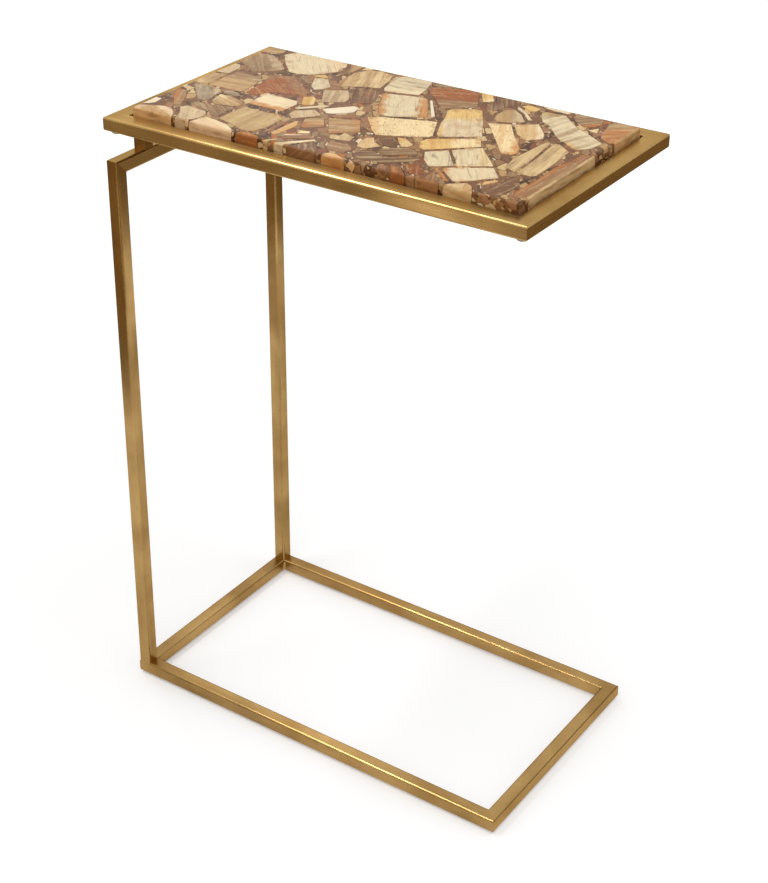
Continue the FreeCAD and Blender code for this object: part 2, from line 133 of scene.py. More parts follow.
CHIP_LOOKS: dict[str, tuple[ChipLook, ...]] = {
    "cream": (
        ChipLook((0.161, 0.891), Stone.GREY, Stone.SAND, -50, 0.3, 0.6, second=Stone.PINK, high=0.3),
        ChipLook((0.018, 0.635), Stone.SMOKE, Stone.TAN, -70, 0.5, 0.2),
        ChipLook((0.012, 0.114), Stone.WHITE, Stone.SAND, -60, 0.3, 0.2),
        ChipLook((0.219, 0.035), Stone.PINK, Stone.PEACH, -15, 0.4, 0.2, second=Stone.IVORY, high=0.4),
        ChipLook((0.248, 0.387), Stone.IVORY, Stone.SAND, 3, 0.3, 0.1, second=Stone.ORANGE, low=0.22),
        ChipLook((0.572, 0.443), Stone.CREAM, Stone.UMBER, -56, 0.1, 0.1, 1.0, Stone.PEACH, low=0.12),
        ChipLook((0.790, 0.572), Stone.CREAM, Stone.PEACH, -64, 0.7, 0.1, 0.7, Stone.ORANGE, Stone.AMBER,
                 end=0.12, high=0.16),
        ChipLook((0.795, 0.984), Stone.IVORY, Stone.SAND, -40, 0.3, 0.3),
        ChipLook((0.926, 0.849), Stone.CREAM, Stone.TAN, -80, 0.3, 0.1),
    ),
    "ivory": (
        ChipLook((0.435, 0.888), Stone.GREY, Stone.SLATE, 4, 0.35, 0.6, second=Stone.IVORY, low=0.35),
        ChipLook((0.566, 0.691), Stone.WHITE, Stone.SAND, -66, 0.2, 0.0),
        ChipLook((0.337, 0.429), Stone.GREY, Stone.TAN, 56, 0.5, 0.4),
        ChipLook((0.402, 0.469), Stone.WHITE, Stone.PINK, 56, 0.5, 0.3),
        ChipLook((0.348, 0.344), Stone.SMOKE, Stone.TAN, -48, 0.5, 0.5),
        ChipLook((0.836, 0.163), Stone.GREY, Stone.PINK, -54, 0.6, 0.8, second=Stone.ORANGE,
                 low=0.08, end=0.08),
        ChipLook((0.737, 0.229), Stone.GREY, Stone.SMOKE, -56, 0.6, 0.8),
        ChipLook((0.791, 0.312), Stone.GREY, Stone.TAN, -56, 0.6, 0.7, second=Stone.CREAM, high=0.3),
        ChipLook((0.748, 0.866), Stone.GREY, Stone.UMBER, -62, 0.5, 0.2),
        ChipLook((0.433, 0.056), Stone.IVORY, Stone.TAN, 40, 0.5, 0.2),
        ChipLook((0.382, 0.022), Stone.SAND, Stone.UMBER, 40, 0.5, 0.2),
    ),
    "tan": (
        ChipLook((0.092, 0.512), Stone.TAN, Stone.UMBER, 2, 0.7, 0.3, second=Stone.TAUPE, high=0.3),
        ChipLook((0.154, 0.290), Stone.TAN, Stone.MAUVE, -20, 0.6, 0.5, second=Stone.SAND, start=0.3),
        ChipLook((0.270, 0.170), Stone.OLIVE, Stone.UMBER, 88, 0.45, 0.3),
        ChipLook((0.057, 0.036), Stone.TAN, Stone.UMBER, -24, 0.3, 0.7, second=Stone.PINK,
                 start=0.2, high=0.3, side=Stone.PEACH),
        ChipLook((0.331, 0.852), Stone.SAND, Stone.UMBER, -68, 0.8, 0.5, second=Stone.TAN, low=0.3),
        ChipLook((0.814, 0.691), Stone.SAND, Stone.ORANGE, -60, 0.35, 0.2, second=Stone.IVORY, high=0.25),
        ChipLook((0.884, 0.437), Stone.SAND, Stone.TAUPE, -84, 0.5, 0.7),
        ChipLook((0.924, 0.447), Stone.SAND, Stone.TAUPE, -80, 0.5, 0.7),
        ChipLook((0.857, 0.029), Stone.SAND, Stone.AMBER, -70, 0.5, 0.4),
        ChipLook((0.567, 0.211), Stone.SAND, Stone.ORANGE, -60, 0.3, 0.2),
        ChipLook((0.501, 0.203), Stone.SAND, Stone.UMBER, -60, 0.5, 0.3),
        ChipLook((0.464, 0.320), Stone.UMBER, Stone.TAN, 32, 0.8, 0.7, second=Stone.AMBER,
                 low=0.12, end=0.2),
        ChipLook((0.025, 0.954), Stone.TAN, Stone.MAUVE, 20, 0.6, 0.5),
        ChipLook((0.358, 0.994), Stone.SAND, Stone.UMBER, 0, 0.4, 0.2),
        ChipLook((0.295, 0.982), Stone.CREAM, Stone.TAN, 0, 0.4, 0.2),
        ChipLook((0.415, 0.170), Stone.CREAM, Stone.TAN, 40, 0.4, 0.2),
        ChipLook((0.704, 0.032), Stone.AMBER, Stone.COCOA, -56, 0.5, 0.3, side=Stone.BRICK),
    ),
    "honey": (
        ChipLook((0.232, 0.777), Stone.HONEY, Stone.AMBER, -20, 0.4, 0.1),
        ChipLook((0.626, 0.952), Stone.YELLOW, Stone.ORANGE, -62, 0.4, 0.1, second=Stone.CREAM, end=0.3),
        ChipLook((0.367, 0.167), Stone.HONEY, Stone.AMBER, 88, 0.5, 0.2, second=Stone.PEACH, low=0.4),
        ChipLook((0.306, 0.485), Stone.HONEY, Stone.ORANGE, -62, 0.3, 0.1, second=Stone.YELLOW, high=0.3),
        ChipLook((0.710, 0.393), Stone.CREAM, Stone.ORANGE, -56, 0.5, 0.2, 0.5, Stone.YELLOW,
                 low=0.5, end=0.2),
        ChipLook((0.745, 0.936), Stone.YELLOW, Stone.HONEY, -30, 0.4, 0.0),
        ChipLook((0.628, 0.301), Stone.SAND, Stone.ORANGE, -50, 0.4, 0.2, second=Stone.HONEY, start=0.4),
        ChipLook((0.668, 0.618), Stone.GREY, Stone.AMBER, -58, 0.25, 0.4, 0.4, Stone.YELLOW,
                 start=0.36, low=0.08),
        ChipLook((0.005, 0.345), Stone.CREAM, Stone.ORANGE, 0, 0.3, 0.0),
    ),
    "rust": (
        ChipLook((0.192, 0.568), Stone.RUST, Stone.BRICK, -35, 0.3, 0.2, 0.35, Stone.UMBER, Stone.PINK,
                 start=0.16, high=0.2),
        ChipLook((0.046, 0.220), Stone.TAUPE, Stone.AMBER, -62, 0.7, 0.3, second=Stone.ORANGE, low=0.3),
        ChipLook((0.568, 0.871), Stone.RUST, Stone.BRICK, 24, 0.5, 0.2, second=Stone.TAUPE, low=0.38),
        ChipLook((0.972, 0.891), Stone.AMBER, Stone.SAND, 40, 0.4, 0.3, second=Stone.TAUPE, high=0.3,
                 side=Stone.SAND),
        ChipLook((0.981, 0.320), Stone.UMBER, Stone.MAUVE, 88, 0.5, 0.3, second=Stone.AMBER, low=0.25,
                 side=Stone.CREAM),
        ChipLook((0.729, 0.081), Stone.RUST, Stone.COCOA, -60, 0.6, 0.3),
        ChipLook((0.398, 0.278), Stone.AMBER, Stone.TAUPE, 32, 0.7, 0.5, second=Stone.TAN, high=0.4),
        ChipLook((0.789, 0.094), Stone.ORANGE, Stone.UMBER, -58, 0.5, 0.2),
        ChipLook((0.891, 0.129), Stone.PEACH, Stone.ORANGE, 70, 0.4, 0.1),
        ChipLook((0.549, 0.018), Stone.PEACH, Stone.ORANGE, -20, 0.4, 0.1, side=Stone.AMBER),
        ChipLook((0.324, 0.017), Stone.ORANGE, Stone.BRICK, -40, 0.6, 0.3, side=Stone.BRICK),
    ),
    "brown": (
        ChipLook((0.159, 0.181), Stone.TAUPE, Stone.MAUVE, -40, 0.7, 0.4, second=Stone.SMOKE, high=0.2),
        ChipLook((0.261, 0.925), Stone.TAN, Stone.MAUVE, -75, 0.7, 0.4),
        ChipLook((0.392, 0.668), Stone.UMBER, Stone.COCOA, -60, 0.6, 0.5, second=Stone.MAUVE, low=0.35),
        ChipLook((0.434, 0.417), Stone.UMBER, Stone.BRICK, 30, 0.6, 0.3),
        ChipLook((0.345, 0.163), Stone.UMBER, Stone.MAUVE, 88, 0.6, 0.2),
        ChipLook((0.885, 0.940), Stone.TAUPE, Stone.BRICK, 45, 0.6, 0.3, second=Stone.AMBER, low=0.2),
        ChipLook((0.925, 0.117), Stone.MAUVE, Stone.COCOA, 80, 0.6, 0.4, 0.3),
        ChipLook((0.595, 0.273), Stone.MAUVE, Stone.COCOA, 40, 0.7, 0.3),
        ChipLook((0.648, 0.201), Stone.TAUPE, Stone.COCOA, 36, 0.8, 0.4),
        ChipLook((0.638, 0.111), Stone.UMBER, Stone.COCOA, 38, 0.6, 0.4, second=Stone.BRICK, low=0.3),
        ChipLook((0.471, 0.035), Stone.MAUVE, Stone.COCOA, -50, 0.6, 0.4),
        ChipLook((0.674, 0.922), Stone.MAUVE, Stone.COCOA, -60, 0.6, 0.3),
        ChipLook((0.716, 0.981), Stone.TAUPE, Stone.MAUVE, -60, 0.5, 0.2),
        ChipLook((0.508, 0.979), Stone.TAUPE, Stone.MAUVE, 10, 0.6, 0.3),
        ChipLook((0.783, 0.036), Stone.UMBER, Stone.COCOA, -60, 0.5, 0.3, second=Stone.AMBER, low=0.3),
        ChipLook((0.416, 0.111), Stone.UMBER, Stone.MAUVE, 40, 0.6, 0.3, second=Stone.PINK, high=0.3),
    ),
    "grey": (
        ChipLook((0.058, 0.778), Stone.TAUPE, Stone.MAUVE, -48, 0.45, 0.3, second=Stone.SMOKE, high=0.2),
        ChipLook((0.021, 0.483), Stone.TAN, Stone.TAUPE, -80, 0.5, 0.3, second=Stone.SAND, end=0.3),
        ChipLook((0.075, 0.331), Stone.SLATE, Stone.MAUVE, -52, 0.6, 0.5, second=Stone.SMOKE, high=0.3),
        ChipLook((0.133, 0.377), Stone.SLATE, Stone.MAUVE, 0, 0.5, 0.2),
        ChipLook((0.136, 0.082), Stone.SMOKE, Stone.TAUPE, -60, 0.4, 0.3, 0.8),
        ChipLook((0.500, 0.658), Stone.GREY, Stone.SMOKE, -60, 0.3, 0.7, second=Stone.ORANGE,
                 low=0.1, high=0.18),
        ChipLook((0.338, 0.597), Stone.SMOKE, Stone.TAUPE, -60, 0.6, 0.4),
        ChipLook((0.882, 0.782), Stone.GREY, Stone.TAUPE, 72, 0.7, 0.4, second=Stone.HONEY,
                 end=0.1, low=0.1),
        ChipLook((0.527, 0.111), Stone.UMBER, Stone.MAUVE, 10, 0.5, 0.2),
        ChipLook((0.732, 0.795), Stone.TAN, Stone.TAUPE, -60, 0.4, 0.3, second=Stone.SMOKE, high=0.4),
        ChipLook((0.261, 0.692), Stone.GREY, Stone.TAUPE, -62, 0.4, 0.2),
    ),
}


class Graph:
    """The nodes of a material or of the world, added and linked in few words."""

    def __init__(self, name: str, for_world: bool = False) -> None:
        """Start a material or a world, without any nodes.

        Args:
            name: Its name.
            for_world: Whether it is a world.
        """
        self.owner = (bpy.data.worlds if for_world else bpy.data.materials).new(name)
        self.owner.use_nodes = True
        self.tree = self.owner.node_tree
        self.tree.nodes.clear()

    def add(self, kind: str, inputs: dict | None = None, **settings: object) -> bpy.types.Node:
        """Add a node.

        Args:
            kind: The node's type, without its ShaderNode prefix.
            inputs: Values or sockets by the name or number of the node's inputs.
            settings: Properties of the node.

        Returns:
            The new node.
        """
        node = self.tree.nodes.new("ShaderNode" + kind)
        for name, value in settings.items():
            setattr(node, name, value)
        for key, value in (inputs or {}).items():
            if isinstance(value, Socket):
                self.tree.links.new(value, node.inputs[key])
            else:
                node.inputs[key].default_value = value
        return node

    def place(self) -> Socket:
        """Position on the object, in metres."""
        return self.add("TexCoord").outputs["Object"]

    def uv(self, name: str) -> Socket:
        """Position in one of the mesh's own UV maps."""
        return self.add("UVMap", uv_map=name).outputs["UV"]

    def attribute(self, name: str) -> tuple[Socket, Socket]:
        """Colour and fourth value of an attribute of the mesh."""
        node = self.add("Attribute", attribute_name=name)
        return node.outputs["Color"], node.outputs["Alpha"]

    def axes(self, vector: Socket) -> list[Socket]:
        """The three parts of a position."""
        return list(self.add("SeparateXYZ", {0: vector}).outputs)

    def stretch(self, vector: Socket, scale: Triple) -> Socket:
        """Scale a position, differently along each axis."""
        return self.add("Mapping", {"Vector": vector, "Scale": scale}).outputs["Vector"]

    def vector(self, operation: str, first: Socket, second: Socket | Triple) -> Socket:
        """One step of arithmetic with two positions."""
        return self.add("VectorMath", {0: first, 1: second}, operation=operation).outputs[0]

    def noise(self, vector: Socket, scale: float, detail: float, seed: Socket | float = 0.0) -> Socket:
        """Cloudy values about a half."""
        inputs = {"Vector": vector, "W": seed, "Scale": scale, "Detail": detail}
        return self.add("TexNoise", inputs, noise_dimensions="4D").outputs["Fac"]

    def math(self, operation: str, first: Socket | float, *others: Socket | float) -> Socket:
        """Do arithmetic with one value, or with several from the first to the last.

        Args:
            operation: What is done, as the math node calls it.
            first: The first value.
            others: The values that are taken in after it, one by one.

        Returns:
            The result.
        """
        for other in others or (0.0,):
            first = self.add("Math", {0: first, 1: other}, operation=operation).outputs[0]
        return first

    def times(self, first: Socket, *others: Socket | float) -> Socket:
        """Product of two or more values."""
        return self.math("MULTIPLY", first, *others)

    def swing(self, value: Socket, size: float) -> Socket:
        """Cloudy values turned into a swing of that size about nought."""
        return self.times(self.math("SUBTRACT", value, 0.5), size)

    def span(self, value: Socket, low: Socket | float, high: Socket | float,
             to_low: float = 0.0, to_high: float = 1.0) -> Socket:
        """Smooth step of a value from one range to another."""
        inputs = {"Value": value, "From Min": low, "From Max": high, "To Min": to_low, "To Max": to_high}
        return self.add("MapRange", inputs, interpolation_type="SMOOTHSTEP").outputs["Result"]

    def blend(self, first: Socket | Rgba, second: Socket | Rgba, factor: Socket | float,
              mode: str = "MIX") -> Socket:
        """Mix of two colours."""
        node = self.add("Mix", {0: factor, 6: first, 7: second}, data_type="RGBA", blend_type=mode)
        return node.outputs[2]

    def shade(self, colour: Socket, level: Socket) -> Socket:
        """A colour made darker or lighter."""
        grey = self.add("CombineColor", {0: level, 1: level, 2: level}).outputs[0]
        return self.blend(colour, grey, 1.0, "MULTIPLY")

    def split(self, colour: Socket) -> list[Socket]:
        """The three values of a colour."""
        return list(self.add("SeparateColor", {0: colour}).outputs)

    def bump(self, height: Socket, distance: float) -> Socket:
        """Normal of a surface with this relief."""
        inputs = {"Height": height, "Distance": distance, "Strength": 1.0}
        return self.add("Bump", inputs).outputs["Normal"]

    def close(self, shader: bpy.types.Node) -> bpy.types.Material | bpy.types.World:
        """Give the material or the world its surface.

        Args:
            shader: The node that makes the surface.

        Returns:
            The finished material or world.
        """
        is_world = isinstance(self.owner, bpy.types.World)
        self.add("OutputWorld" if is_world else "OutputMaterial", {"Surface": shader.outputs[0]})
        return self.owner


@dataclass(frozen=True)
class Marking:
    """One size of the stone's markings: streaks where its noise is high, and pale where it is low."""

    stretch: Triple
    scale: float
    detail: float
    streak: tuple[float, float]
    streak_share: float
    pale: tuple[float, float] = (0.5, 0.0)
    pale_share: float = 0.0


@dataclass(frozen=True)
class StoneFinish:
    """Polished petrified wood, coloured chip by chip by the mesh's attributes.

    Patterns that follow the grain are scaled per centimetre, and those on the slab's sides per metre.
    """

    name: str
    crack: Rgba = linear("#4A2D19")
    # Iron stain on the chips, and also the colour of the painted shade on the slab's outer sides.
    stain: Rgba = linear("#9C6230")
    pale: Rgba = linear("#F0D8A6")
    grime: Rgba = linear("#6B4326")
    gloss: float = 0.2
    rough: float = 0.36
    specular: float = 0.05
    relief: float = 0.7 * MILLIMETRE
    fibre_height: float = 0.05
    crack_height: float = 0.4
    side_height: float = 0.4
    wave_scale: Triple = (0.3, 0.45, 1.0)
    wave_height: float = 0.6
    zone_scale: float = 0.9
    zone_wobble: float = 0.5
    zone_reach: float = 1.1
    zone_fade: tuple[float, float] = (-0.09, 0.11)
    edge_scale: float = 1.4
    edge_reach: float = 0.2
    edge_fade: tuple[float, float] = (-0.04, 0.06)
    stain_share: float = 0.4
    crack_scale: Triple = (0.05, 1.1, 1.0)
    crack_width: float = 0.02
    crack_strength: float = 0.85
    vein_scale: Triple = (0.55, 0.9, 1.0)
    vein_width: float = 0.035
    vein_share: float = 0.45
    fleck_scale: Triple = (1.3, 5.2, 1.0)
    fleck_edge: tuple[float, float] = (0.16, 0.3)
    fibre_scale: Triple = (0.7, 8.0, 1.0)
    fibre_shade: tuple[float, float] = (0.9, 1.05)
    fuzz_scale: float = 3.0
    # How far the bevels and walls go towards the crack colour: a dark joint, partly painted shade.
    dark_joint_and_shade_share: float = 0.45
    side_scale: Triple = (60.0, 60.0, 420.0)
    side_cover: tuple[float, float] = (0.2, 0.7)
    side_painted_shade_share: float = 0.22
    grime_scale: Triple = (50.0, 50.0, 240.0)
    grime_share: float = 0.5
    clouds: tuple[Marking, ...] = (
        Marking((1.0, 1.0, 1.0), 0.55, 3.0, (0.48, 0.8), 0.4),
        Marking((1.0, 1.0, 1.0), 2.2, 4.0, (0.52, 0.74), 0.3, (0.46, 0.28), 0.22),
    )
    bands: tuple[Marking, ...] = (
        Marking((0.12, 1.5, 1.0), 1.0, 3.0, (0.48, 0.64), 1.0, (0.46, 0.32), 0.45),
        Marking((0.16, 3.4, 1.0), 1.0, 2.0, (0.53, 0.66), 0.6, (0.46, 0.34), 0.3),
    )

    def wavy_grain(self, graph: Graph, seed: Socket) -> Socket:
        """Position along and across the grain in centimetres, with the grain bent a little.

        Args:
            graph: The material's graph.
            seed: A value that differs from chip to chip.

        Returns:
            The bent position.
        """
        grain = graph.uv("grain")
        wave = graph.noise(graph.stretch(grain, self.wave_scale), 1.0, 2.0, seed)
        shift = graph.add("CombineXYZ", {"Y": graph.swing(wave, self.wave_height)}).outputs[0]
        return graph.vector("ADD", grain, shift)

    def zone_mask(self, graph: Graph, seed: Socket) -> Socket:
        """Where the chip's second colour lies, in from its four sides.

        Args:
            graph: The material's graph.
            seed: A value that differs from chip to chip.

        Returns:
            A mask from 0 to 1.
        """
        wobble = graph.swing(graph.noise(graph.uv("grain"), self.zone_scale, 4.0, seed), self.zone_wobble)
        along, across, _ = graph.axes(graph.uv("share"))
        colour, high = graph.attribute("zones")
        start, end, low = graph.split(colour)
        depths = (
            (start, along),
            (end, graph.math("SUBTRACT", 1.0, along)),
            (low, across),
            (high, graph.math("SUBTRACT", 1.0, across)),
        )
        covered = []
        for reach, depth in depths:
            asked = graph.math("SIGN", reach)
            margin = graph.math("SUBTRACT", graph.times(reach, self.zone_reach), depth)
            margin = graph.math("ADD", margin, graph.times(wobble, asked))
            covered.append(graph.times(graph.span(margin, *self.zone_fade), asked))
        return graph.math("MAXIMUM", *covered)

    def edge_mask(self, graph: Graph, seed: Socket) -> Socket:
        """Where iron has stained the chip along its sides.

        Args:
            graph: The material's graph.
            seed: A value that differs from chip to chip.

        Returns:
            A mask from 0 to 1.
        """
        near = [graph.math("MINIMUM", share, graph.math("SUBTRACT", 1.0, share))
                for share in graph.axes(graph.uv("share"))[:2]]
        patches = graph.noise(graph.uv("grain"), self.edge_scale, 3.0, seed)
        reach = graph.span(patches, 0.42, 0.72, 0.0, self.edge_reach)
        return graph.span(graph.math("SUBTRACT", reach, graph.math("MINIMUM", *near)), *self.edge_fade)

    def crack_mask(self, graph: Graph, grain: Socket, seed: Socket, amount: Socket) -> Socket:
        """Thin dark lines along the grain, broken up by a coarser noise.

        Args:
            graph: The material's graph.
            grain: Position along and across the grain.
            seed: A value that differs from chip to chip.
            amount: How strong the cracks are.

        Returns:
            A mask from 0 to 1.
        """
        layers = graph.noise(graph.stretch(grain, self.crack_scale), 1.0, 0.0, seed)
        away = graph.math("ABSOLUTE", graph.math("SUBTRACT", layers, 0.5))
        line = graph.span(away, 0.0, self.crack_width, self.crack_strength, 0.0)
        where = graph.span(graph.noise(grain, 0.45, 1.0, seed), 0.42, 0.62)
        return graph.times(line, where, amount)

    def vein_mask(self, graph: Graph, seed: Socket, amount: Socket) -> Socket:
        """Curved cracks that run across the chip, in a wide net with most of its lines missing.

        Args:
            graph: The material's graph.
            seed: A value that differs from chip to chip.
            amount: How strong the cracks are.

        Returns:
            A mask from 0 to 1.
        """
        grain = graph.stretch(graph.uv("grain"), self.vein_scale)
        warp = graph.add("TexNoise", {"Vector": grain, "W": seed, "Scale": 1.1, "Detail": 3.0},
                         noise_dimensions="4D").outputs["Color"]
        net = graph.add("TexVoronoi", {"Vector": graph.vector("ADD", grain, warp), "W": seed, "Scale": 1.0},
                        voronoi_dimensions="4D", feature="DISTANCE_TO_EDGE")
        line = graph.span(net.outputs["Distance"], 0.0, self.vein_width, 1.0, 0.0)
        where = graph.span(graph.noise(grain, 0.8, 2.0, seed), 0.52, 0.64)
        return graph.times(line, where, amount)

    def fleck_mask(self, graph: Graph, grain: Socket, amount: Socket) -> Socket:
        """Short pits and fibres that lie along the grain.

        Args:
            graph: The material's graph.
            grain: Position along and across the grain.
            amount: How strong the flecks are.

        Returns:
            A mask from 0 to 1.
        """
        cells = graph.add("TexVoronoi", {"Vector": graph.stretch(grain, self.fleck_scale), "Scale": 1.0})
        near = graph.span(cells.outputs["Distance"], *self.fleck_edge, 1.0, 0.0)
        kept = graph.span(graph.split(cells.outputs["Color"])[0], 0.52, 0.56)
        return graph.times(near, kept, amount)

    def mark(self, graph: Graph, colour: Socket, grain: Socket, seed: Socket,
             markings: tuple[Marking, ...], amount: Socket | float) -> Socket:
        """Lay markings over a colour.

        Args:
            graph: The material's graph.
            colour: The colour below.
            grain: Position along and across the grain.
            seed: A value that differs from chip to chip.
            markings: The markings, from the coarsest.
            amount: How strong they are.

        Returns:
            The marked colour.
        """
        streak, _ = graph.attribute("streak")
        for marking in markings:
            drawn = graph.stretch(grain, marking.stretch)
            pattern = graph.noise(drawn, marking.scale, marking.detail, seed)
            streaks = graph.times(graph.span(pattern, *marking.streak), marking.streak_share, amount)
            colour = graph.blend(colour, streak, streaks)
            if marking.pale_share:
                pale = graph.times(graph.span(pattern, *marking.pale), marking.pale_share, amount)
                colour = graph.blend(colour, self.pale, pale)
        return colour

    def top_colour(self, graph: Graph, grain: Socket, seed: Socket, amount: Socket) -> Socket:
        """Colour of the polished stone before its cracks: zones, clouds, iron stain and bands.

        Args:
            graph: The material's graph.
            grain: Position along and across the grain.
            seed: A value that differs from chip to chip.
            amount: How strong the bands are.

        Returns:
            The colour.
        """
        base, _ = graph.attribute("base")
        second, _ = graph.attribute("second")
        colour = graph.blend(base, second, self.zone_mask(graph, seed))
        colour = self.mark(graph, colour, grain, seed, self.clouds, 1.0)
        colour = graph.blend(colour, self.stain, graph.times(self.edge_mask(graph, seed), self.stain_share))
        return self.mark(graph, colour, grain, seed, self.bands, amount)

    def side_colour(self, graph: Graph, colour: Socket, coarse: Socket) -> Socket:
        """Colour with the slab's outer sides rougher, darkened by a painted shade in the stain's colour,
        and grimy in level streaks.

        Args:
            graph: The material's graph.
            colour: The polished stone's colour.
            coarse: Noise that the sides' relief follows too.

        Returns:
            The colour.
        """
        side, outside = graph.attribute("side")
        cover = graph.span(coarse, 0.34, 0.56, *self.side_cover)
        colour = graph.blend(colour, side, graph.times(outside, cover))
        # Painted shade: every outer side is darkened towards the warm stain colour, so that the sides read
        # darker than the top.
        colour = graph.blend(colour, self.stain, graph.times(outside, self.side_painted_shade_share))
        layers = graph.noise(graph.stretch(graph.place(), self.grime_scale), 1.0, 5.0)
        grime = graph.span(layers, 0.46, 0.68, 0.0, self.grime_share)
        return graph.blend(colour, self.grime, graph.times(outside, grime))

    def build(self) -> bpy.types.Material:
        """Make the material.

        Returns:
            The finished material.
        """
        graph = Graph(self.name)
        traits, seed = graph.attribute("traits")
        bands, cracks, flecks = graph.split(traits)
        speck, dark_joint_and_shade = graph.attribute("fleck")
        _, outside = graph.attribute("side")
        grain = self.wavy_grain(graph, seed)
        colour = self.top_colour(graph, grain, seed, bands)
        fibres = graph.noise(graph.stretch(grain, self.fibre_scale), 1.0, 3.0, seed)
        colour = graph.shade(colour, graph.span(fibres, 0.3, 0.7, *self.fibre_shade))
        veins = self.vein_mask(graph, seed, graph.times(cracks, self.vein_share))
        crack = graph.math("MAXIMUM", self.crack_mask(graph, grain, seed, cracks), veins)
        colour = graph.blend(colour, self.crack, crack)
        colour = graph.blend(colour, speck, self.fleck_mask(graph, grain, flecks))
        # Dark joint colour on the chips' bevels and walls, partly painted shade in the groove along the
        # resin.
        colour = graph.blend(colour, self.crack, graph.times(dark_joint_and_shade, self.dark_joint_and_shade_share))
        coarse = graph.noise(graph.stretch(graph.place(), self.side_scale), 1.0, 4.0)
        colour = self.side_colour(graph, colour, coarse)
        fuzz = graph.noise(grain, self.fuzz_scale, 3.0, seed)
        polish = graph.span(fuzz, 0.3, 0.7, self.gloss - 0.05, self.gloss + 0.06)
        relief = graph.math("SUBTRACT", graph.times(fibres, self.fibre_height),
                            graph.times(crack, self.crack_height))
        relief = graph.math("ADD", relief, graph.times(outside, coarse, self.side_height))
        surface = graph.add("BsdfPrincipled", {
            "Base Color": colour,
            "Roughness": graph.math("ADD", polish, graph.times(outside, self.rough - self.gloss)),
            "Specular IOR Level": self.specular,
            "Normal": graph.bump(relief, self.relief),
        })
        return graph.close(surface)


@dataclass(frozen=True)
class ResinFinish:
    """Polished brown resin, packed with splinters and crumbs of the same stone."""

    name: str
    deep: Rgba = linear("#4C2F18")
    clear: Rgba = linear("#845A34")
    gloss: float = 0.18
    specular: float = 0.05
    relief: float = 0.1 * MILLIMETRE
    bend: float = 4.0 * MILLIMETRE
    bends_per_metre: float = 150.0
    clouds_per_metre: float = 55.0
    stains_per_metre: float = 420.0
    splinter_angle: float = math.radians(-56.0)
    splinter_length: float = 1.7
    splinters_per_metre: float = 130.0
    splinter_share: float = 0.76
    splinter_cover: float = 0.9
    splinter_grain: Triple = (250.0, 1500.0, 250.0)
    splinter_shade: tuple[float, float] = (0.78, 1.12)
    splinter_tones: tuple[tuple[float, Stone], ...] = (
        (0.0, Stone.MAUVE), (0.34, Stone.UMBER), (0.54, Stone.TAUPE), (0.66, Stone.BRICK),
        (0.74, Stone.TAN), (0.85, Stone.AMBER), (0.89, Stone.SAND), (0.95, Stone.PEACH),
        (0.98, Stone.IVORY))
    crumbs_per_metre: float = 340.0
    crumb_share: float = 0.42
    crumb_cover: float = 0.8
    crumb_tones: tuple[tuple[float, Stone], ...] = (
        (0.0, Stone.COCOA), (0.3, Stone.UMBER), (0.5, Stone.TAUPE), (0.7, Stone.TAN), (0.87, Stone.SAND),
        (0.96, Stone.WHITE))

    def pieces(self, graph: Graph, place: Socket, scale: float, share: float,
               tones: tuple[tuple[float, Stone], ...]) -> tuple[Socket, Socket]:
        """One size of broken stone.

        Args:
            graph: The material's graph.
            place: Position on the slab.
            scale: Pieces in a metre.
            share: Share of the cells that hold a piece.
            tones: Where each colour starts in the range of tones.

        Returns:
            The pieces' colour and their mask.
        """
        cells = graph.add("TexVoronoi", {"Vector": place, "Scale": scale})
        edges = graph.add("TexVoronoi", {"Vector": place, "Scale": scale}, feature="DISTANCE_TO_EDGE")
        chance, tone, _ = graph.split(cells.outputs["Color"])
        ramp = graph.add("ValToRGB", {"Fac": tone})
        ramp.color_ramp.interpolation = "CONSTANT"
        for position, _ in tones[1:-1]:
            ramp.color_ramp.elements.new(position)
        for element, (position, stone) in zip(ramp.color_ramp.elements, tones):
            element.position = position
            element.color = linear(stone.value)
        body = graph.span(edges.outputs["Distance"], 0.03, 0.08)
        kept = graph.span(chance, 1.0 - share, 1.0 - share + 0.02)
        return ramp.outputs["Color"], graph.times(body, kept)

    def build(self) -> bpy.types.Material:
        """Make the material.

        Returns:
            The finished material.
        """
        graph = Graph(self.name)
        place = graph.place()
        waves = {"Vector": place, "Scale": self.bends_per_metre, "Detail": 2.0}
        bend = graph.add("TexNoise", waves).outputs["Color"]
        turn = {
            "Vector": graph.vector("ADD", place, graph.vector("MULTIPLY", bend, (self.bend,) * 3)),
            "Rotation": (0.0, 0.0, self.splinter_angle),
            "Scale": (self.splinter_length, 1.0, 1.0),
        }
        bent = graph.add("Mapping", turn, vector_type="TEXTURE").outputs["Vector"]
        murk = graph.noise(place, self.clouds_per_metre, 4.0)
        colour = graph.blend(self.deep, self.clear, graph.span(murk, 0.36, 0.66))
        tint, mask = self.pieces(graph, bent, self.crumbs_per_metre, self.crumb_share, self.crumb_tones)
        colour = graph.blend(colour, tint, graph.times(mask, self.crumb_cover))
        tint, mask = self.pieces(graph, bent, self.splinters_per_metre, self.splinter_share,
                                 self.splinter_tones)
        grain = graph.noise(graph.stretch(bent, self.splinter_grain), 1.0, 3.0)
        tint = graph.shade(tint, graph.span(grain, 0.3, 0.7, *self.splinter_shade))
        colour = graph.blend(colour, tint, graph.times(mask, self.splinter_cover))
        stain = graph.noise(place, self.stains_per_metre, 3.0)
        surface = graph.add("BsdfPrincipled", {
            "Base Color": colour,
            "Roughness": graph.span(stain, 0.3, 0.7, self.gloss - 0.04, self.gloss + 0.08),
            "Specular IOR Level": self.specular,
            "Normal": graph.bump(stain, self.relief),
        })
        return graph.close(surface)


@dataclass(frozen=True)
class Brushing:
    """Marks drawn out along a rail: how many to a metre across it and along it, and their detail."""

    across: float
    along: float
    detail: float


